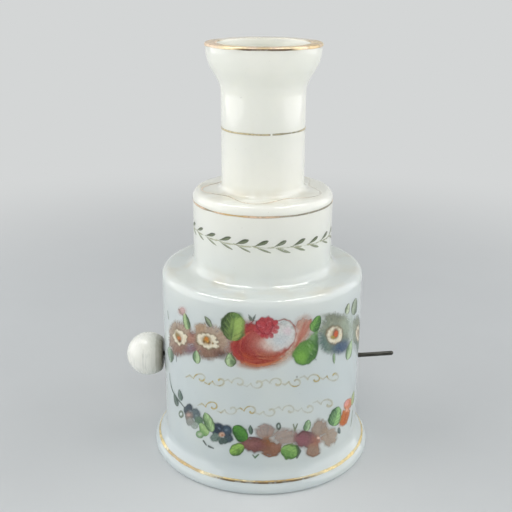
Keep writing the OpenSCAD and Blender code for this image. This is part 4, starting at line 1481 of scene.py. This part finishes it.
def wire_tube():
    """Rings of points along the wire, and the faces between them."""
    start, end = wire_low.x / MM, wire_high.x / MM
    dome = np.linspace(0, 0.98, 9)
    x = np.concatenate(([start], np.linspace(-BARE, BARE, 60), np.linspace(BARE + 0.8, end - END_R, 24)))
    radius = np.where(np.abs(x) < BARE + 0.01, WIRE_R, END_R)
    x = np.concatenate((x, end - END_R + END_R * dome))[:, None]
    radius = np.concatenate((radius, END_R * np.sqrt(1 - dome ** 2)))[:, None]
    lift = BEND * np.clip((x - BARE) / (end - BARE), 0, 1) ** BEND_SHAPE
    turn = np.linspace(0, 2 * math.pi, WIRE_SIDES, endpoint=False)
    z = SPINDLE_Z + lift + radius * np.sin(turn)
    points = np.stack((x + 0 * turn, radius * np.cos(turn), z), axis=-1).reshape(-1, 3)
    caps = [list(range(WIRE_SIDES))[::-1], list(range(len(points) - WIRE_SIDES, len(points)))]
    return points, squares(len(x), WIRE_SIDES, 0, 1).tolist() + caps


def iron_wire():
    f = Finish("dull_iron_wire")
    spot = f.place()
    drawn = f.noise(f.stretched(spot, (0.15, 2.5, 2.5)), 1.0, 3.0, 0.6)
    rust = f.between(f.noise(spot, 0.9, 4.0, 0.65), 0.5, 0.72)
    grey = f.mix(f.between(drawn, 0.3, 0.7), tint("32322e"), tint("5a5a54"))
    iron = f.mix(rust * 0.3, grey, tint("52443a"))
    rough = 0.40 + rust * 0.25
    return f.done(Base_Color=iron, Roughness=rough, Metallic=0.75, Normal=f.bump(drawn, 0.35, 0.05))


wire = piece("spindle_wire", *wire_tube(), sharp=WIRE_SHARP)
wire.data.materials.append(iron_wire())
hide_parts("spindle")
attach(wire, "picture_drum")
print("spindle_wire, radius", round(WIRE_R, 2), "mm, bent up", BEND, "mm at its end")

# %% [markdown]
# The lens sits out of sight in the neck. It could keep its solid, but a convex lens is two
# shallow domes, and the lathe makes them smoother than the packed solid is. It is the one
# clear piece: full transmission, the index of crown glass and a few fine scratches in its
# roughness.

# %% Eye lens
lens_low, lens_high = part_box("eye_lens")
LENS_R = lens_high.x / MM
LENS_MIDDLE = (lens_low.z + lens_high.z) / 2 / MM
LENS_HALF = (lens_high.z - lens_low.z) / 2 / MM
DOME, DOME_STEPS = 0.55, 25


def lens_outline():
    """Half the lens's section, out along the upper dome and back along the lower one."""
    share = np.linspace(0.002, 1, DOME_STEPS)
    rise = LENS_HALF - DOME * share ** 2
    upper_dome = np.stack((share * LENS_R, LENS_MIDDLE + rise), axis=-1)
    lower_dome = np.stack((share * LENS_R, LENS_MIDDLE - rise), axis=-1)
    return np.concatenate((upper_dome, lower_dome[::-1]))


def clear_glass():
    f = Finish("clear_lens_glass")
    scratches = f.noise(f.stretched(f.place(), (3.0, 0.4, 1.0)), 1.2, 4.0, 0.7)
    return f.done(Base_Color=(0.94, 0.97, 0.96, 1.0), Transmission_Weight=1.0, IOR=1.52,
                  Roughness=0.01 + f.between(scratches, 0.62, 0.75) * 0.06)


lens = piece("lens_glass", *turned(lens_outline(), TURNED_SIDES))
lens.data.materials.append(clear_glass())
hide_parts("eye_lens")
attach(lens, "case")
print("lens_glass, radius", round(LENS_R, 2), "mm, middle at", round(LENS_MIDDLE, 2))


# %% [markdown]
# The other inner pieces keep their solids and only need finishes. Cork is a warm brown mass of
# cells with dark pores, wood has a grain that is one noise stretched along the plank, paper and
# card show short fibres, brass is tarnished in patches and cement is gritty. Each could be one
# colour, as it is hardly seen, but the lens makes everything larger. Wood and paper take their
# tones as arguments, so that two pieces of one kind can differ.

# %% Cork, wood, paper, brass and cement
def cork():
    f = Finish("cut_cork")
    spot = f.place()
    cells = f.node("ShaderNodeTexVoronoi", {"feature": "F1"}, {"Vector": spot, "Scale": 1.7})
    pores = f.between(f.noise(spot, 1.3, 4.0, 0.7), 0.56, 0.66)
    brown = f.mix(f.between(cells, 0.1, 0.7), tint("c39a6c"), tint("9b7148"))
    return f.done(Base_Color=f.mix(pores * 0.8, brown, tint("4e3420")), Roughness=0.85,
                  Normal=f.bump(cells - pores, 0.6, 0.12))


def wood(name, light, dark, along):
    f = Finish(name)
    spot = f.stretched(f.place(), along)
    rings = f.noise(spot, 0.55, 3.0, 0.55)
    fibres = f.noise(spot, 3.2, 4.0, 0.7)
    tone = f.mix(f.between(rings, 0.38, 0.64), tint(light), tint(dark))
    tone = f.mix(f.between(fibres, 0.45, 0.75) * 0.35, tone, tint("5a3d22"))
    return f.done(Base_Color=tone, Roughness=0.62 + fibres * 0.2, Normal=f.bump(fibres, 0.4, 0.08))


def paper(name, light, dark, rough=0.85):
    f = Finish(name)
    spot = f.place()
    fibres = f.noise(f.stretched(spot, (1.0, 1.0, 0.35)), 3.0, 5.0, 0.7)
    stains = f.noise(spot, 0.16, 3.0)
    tone = f.mix(f.between(fibres, 0.3, 0.7), tint(light), tint(dark))
    tone = f.mix(f.between(stains, 0.5, 0.75) * 0.4, tone, tint("8f7650"))
    return f.done(Base_Color=tone, Roughness=rough, Normal=f.bump(fibres, 0.35, 0.05))


def brass():
    f = Finish("dulled_brass")
    spot = f.place()
    tarnish = f.between(f.noise(spot, 1.1, 4.0, 0.65), 0.42, 0.7)
    tone = f.mix(tarnish, tint("c8a356"), tint("7c6034"))
    return f.done(Base_Color=tone, Roughness=0.28 + tarnish * 0.3, Metallic=1.0)


def cement():
    f = Finish("plaster_cement")
    spot = f.place()
    grit = f.noise(spot, 1.8, 5.0, 0.75)
    tone = f.mix(f.between(grit, 0.35, 0.7), tint("ded8c8"), tint("bdb49f"))
    return f.done(Base_Color=tone, Roughness=0.92, Normal=f.bump(grit, 0.6, 0.15))


print("inner finishes:", [make.__name__ for make in (cork, wood, paper, brass, cement)])

# %% [markdown]
# Each inner solid now gets its finish. That could be done piece by piece, but a table of names
# shows at a glance what is made of what. Pieces of one kind share one material.

# %% Finishes of the inner pieces
CORK, BRASS = cork(), brass()
BLOCK_WOOD = wood("sawn_softwood", "c9a06a", "a87a45", (0.12, 1.0, 1.0))
ROLLED = paper("rolled_paper", "d8cdb2", "c6b894")
CARD = paper("grey_card", "c9b894", "b3a07a", 0.9)
BINDING = paper("binding_paper", "7f957b", "647a62")
PRINT_PAPER = paper("print_paper", "ddd5bd", "cfc4a6")
INNER_FINISH = {
    "lens_seat_ring": CORK, "left_bush": CORK, "right_bush": CORK,
    "lens_split_ring": BRASS, "card_pins": BRASS,
    "base_disc": wood("planed_base_wood", "cfae80", "b48f5e", (1.0, 0.12, 1.0)),
    "base_cement_ring": cement(),
    "base_paper": paper("green_base_paper", "63805f", "4d6a4c"),
    "left_spacer": ROLLED, "right_spacer": ROLLED,
    "left_drum_end": BLOCK_WOOD, "right_drum_end": BLOCK_WOOD,
}
for k in "123":
    INNER_FINISH["picture_card_" + k] = CARD
    INNER_FINISH["picture_print_" + k] = PRINT_PAPER
    INNER_FINISH["corner_binding_" + k] = BINDING
for name, finish in INNER_FINISH.items():
    NODES[name].data.materials.clear()
    NODES[name].data.materials.append(finish)
print("finishes on", len(INNER_FINISH), "inner pieces")

# %% [markdown]
# Each card carries a small tinted view. Such prints are simple: sky, hills, water and trees.
# Brush strokes would be too fine for so small a print, so the view is built up in layers over
# one grid, from the sky forward, each layer with a soft edge that noise makes uneven.

# %% Views for the prints
VIEW_ROWS, VIEW_COLUMNS = 100, 132
TREES = 7


def over(view, mask, tone):
    """The view with a tone laid over it where the mask says."""
    return view * (1 - mask) + tone * mask


def landscape(seed, water):
    """Colours of a small view, over a grid from left to right and from bottom to top."""
    x, y = np.meshgrid(np.linspace(0, 1, VIEW_COLUMNS), np.linspace(0, 1, VIEW_ROWS))

    def noise(fine_x, fine_y, layer):
        return lattice_noise(x * fine_x, y * fine_y, 1.0, seed + layer)[..., None]

    x_wide, y_wide = x[..., None], y[..., None]
    sky = over(shade("c9d3d2"), ease(y_wide, 0.5, 1.0), shade("8fb0c8"))
    cloud = ease(noise(6, 14, 0), 0.55, 0.85) * ease(y_wide, 0.55, 0.7)
    view = over(sky, cloud, shade("f0e9dc"))
    for level, rough, tone in ((0.62, 0.16, "8fa3a8"), (0.50, 0.14, "7d9480"), (0.40, 0.10, "6f8455")):
        slow = lattice_noise(x_wide * 5 + level * 9, 0 * x_wide, 1.0, seed + 1)
        ridge = level + rough * (slow - 0.5) + 0.03 * (noise(23, 0, 2) - 0.5)
        hill = 1 - ease(y_wide, ridge - 0.012, ridge + 0.012)
        view = over(view, hill, shade(tone) * (0.85 + 0.3 * noise(60, 60, 3)))
    lake = 1 - ease(np.abs(y_wide - water), 0.06, 0.075)
    view = over(view, lake, shade("a9c2c8") * (0.9 + 0.2 * noise(8, 90, 4)))
    for k in range(TREES):
        root_x = 0.06 + 0.14 * k + 0.05 * math.sin(seed + 3 * k)
        root_y = 0.12 + 0.05 * math.cos(seed * 2 + k)
        crown = np.hypot((x_wide - root_x) * 9, (y_wide - root_y - 0.1) * 6) + noise(70, 70, 5) * 0.4
        tree = 1 - ease(crown, 0.7, 1.0)
        view = over(view, tree, shade("4f6236") * (0.8 + 0.5 * cloud))
    return view * (0.86 + 0.2 * noise(95, 95, 6))


print("a view has", VIEW_ROWS * VIEW_COLUMNS, "points")

# %% [markdown]
# The prints lie on the three faces of the drum. An image texture would be the usual way, but a
# film of coloured points needs no file and is the same kind of piece as the enamel. One face
# is laid out flat and then turned into its place about the spindle.

# %% Pictures on the drum
print_low, print_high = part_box("picture_print_1")
PRINT_MARGIN, INK_GAP = 0.8, 0.01
PRINT_L = (print_high.x - print_low.x) / MM - 2 * PRINT_MARGIN
PRINT_W = (print_high.y - print_low.y) / MM - 2 * PRINT_MARGIN
PRINT_FACE = print_high.z / MM - SPINDLE_Z + INK_GAP
FACES = 3


def picture(number, seed, water):
    """The printed film of one face."""
    x, y = np.meshgrid(np.linspace(0, 1, VIEW_COLUMNS), np.linspace(0, 1, VIEW_ROWS))
    flat = np.stack((x, y), axis=-1)
    x, y = (x - 0.5) * PRINT_L, (y - 0.5) * PRINT_W
    turn = 2 * math.pi / FACES * (number - 1)
    c, s = math.cos(turn), math.sin(turn)
    places = np.stack((x, y * c - PRINT_FACE * s, SPINDLE_Z + y * s + PRINT_FACE * c), axis=-1)
    outward = np.broadcast_to(np.array((0, -s, c)), places.shape)
    view = landscape(seed, water)
    made = film("printed_view_%d" % number, places, view, np.ones(x.shape), outward, flat)
    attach(made, "picture_drum")
    return made


def printed_ink():
    f = Finish("tinted_print")
    fibres = f.noise(f.place(), 3.5, 4.0, 0.7)
    faded = f.mix(f.between(fibres, 0.4, 0.8) * 0.25, film_paint(f, "Color"), tint("e2d8bf"))
    return f.done(Base_Color=faded, Roughness=0.8)


INK = printed_ink()
for number, seed, water in ((1, 101, 0.27), (2, 211, 0.22), (3, 307, 0.31)):
    view_film = picture(number, seed, water)
    view_film.data.materials.append(INK)
    print(view_film.name, len(view_film.data.polygons), "faces")

# %% [markdown]
# The box stands on a plain pale floor. It could be a studio sheet that curves up behind, but a
# flat disc does as well: its far part shows the plain tone of the backdrop to every ray that
# makes it visible, so that no edge shows. Near the box it is a lit surface that keeps the box's
# soft shadow.

# %% Floor
FLOOR_R, FLOOR_RINGS, FLOOR_SIDES = 6000.0, 14, 96
SHADOW_R, PLAIN_R = 110, 360
BACKDROP = tint("d4d6d6")


def disc(radius):
    """Points and faces of a flat disc in rings, from its edge inward, finer towards the middle."""
    rings = radius * np.linspace(1, 0.02, FLOOR_RINGS)[:, None] ** 2
    angle = np.linspace(0, 2 * math.pi, FLOOR_SIDES, endpoint=False)
    grid = np.stack((rings * np.cos(angle), rings * np.sin(angle), 0 * rings * angle), axis=-1)
    points = grid.reshape(-1, 3)
    middle = list(range(len(points) - FLOOR_SIDES, len(points)))
    return points, squares(FLOOR_RINGS, FLOOR_SIDES, 0, 1).tolist() + [middle]


def seen_directly(f):
    """1 for rays that show a surface in the picture, in a gloss or through glass, and 0 for its light."""
    kinds = ("Camera", "Glossy", "Transmission")
    ways = [f.node("ShaderNodeLightPath", out="Is %s Ray" % kind) for kind in kinds]
    return f.between(ways[0] + ways[1] + ways[2], 0.0, 0.5)


def pale_floor():
    f = Finish("pale_floor")
    spot = f.place()
    away = f.node("ShaderNodeVectorMath", {"operation": "LENGTH"}, {0: spot}, out="Value")
    tone = f.mix(f.noise(spot, 0.02, 3.0), tint("d2d5d6"), tint("d9dcdd"))
    glow = f.node("ShaderNodeEmission", {}, {"Color": BACKDROP, "Strength": 1.0})
    share = seen_directly(f) * f.between(away, SHADOW_R, PLAIN_R)
    f.done(Base_Color=tone, Roughness=0.8, Specular_IOR_Level=0.2)
    both = f.node("ShaderNodeMixShader", {}, {0: share, 1: Flow(f, f.shader.outputs[0]), 2: glow})
    f.feed(f.nodes["Material Output"].inputs["Surface"], both)
    return f.material


floor = piece("pale_floor", *disc(FLOOR_R), sharp=None)
floor.data.materials.append(pale_floor())
print("floor of", len(floor.data.polygons), "faces")

# %% [markdown]
# Soft light from both sides is how glass is photographed: the two sides of the round body
# shine and the middle stays a little darker, which shows its roundness. One lamp at the front
# would flatten it. So there are two large sheets at the sides, a strip above, and a weak lamp
# towards the neck that leaves no gloss. Two narrow strips add gloss alone, and draw the bright
# lines on the shoulder. A grey sky fills the rest.

# %% Lamps and sky
PLAIN, WARM = (1.0, 1.0, 1.0), (1.0, 0.985, 0.95)
SKY_LIGHT = (0.21, 0.22, 0.23, 1.0)


def lamp(name, place, aim, wide, high, watts, colour=PLAIN, roll=0.0):
    """A rectangle of light, its places and sizes in mm, that no camera sees."""
    data = bpy.data.lights.new(name, "AREA")
    data.shape = "RECTANGLE"
    data.size, data.size_y = wide * MM, high * MM
    data.energy = watts
    data.color = colour
    made = placed(name, data)
    facing = (Vector(aim) - Vector(place)).to_track_quat("-Z", "Y").to_matrix().to_4x4()
    rolled = facing @ Matrix.Rotation(math.radians(roll), 4, "Z")
    made.matrix_world = Matrix.Translation(Vector(place) * MM) @ rolled
    made.visible_camera = False
    return made


# name, place, aim, width, height, watts
lamp("left_sheet", (-400, -10, 220), (0, 0, 95), 640, 440, 1.54)
lamp("right_sheet", (400, 0, 220), (0, 0, 95), 640, 440, 1.43)
lamp("top_strip", (0, -50, 470), (0, 0, 60), 420, 40, 0.2, WARM)
for side, watts in ((-1, 0.85), (1, 0.75)):
    place, aim = (182 * side, 3, 446), (11 * side, -20, 57)
    gloss_strip = lamp("gloss_strip", place, aim, 110, 270, watts, WARM, 32 * side)
    gloss_strip.visible_diffuse = False
neck_lamp = lamp("neck_lamp", (0, -210, 165), (0, 0, 115), 140, 100, 0.165, WARM)
neck_lamp.visible_glossy = False

studio = bpy.data.worlds.new("studio_sky")
bpy.context.scene.world = studio
sky = Finish("studio_sky", studio)
sky_colour = sky.mix(seen_directly(sky), SKY_LIGHT, BACKDROP)
sky.feed(sky.nodes["Background"].inputs["Color"], sky_colour)
bpy.context.scene.view_settings.view_transform = "Standard"

# %% [markdown]
# Dressing a model must not change its size.
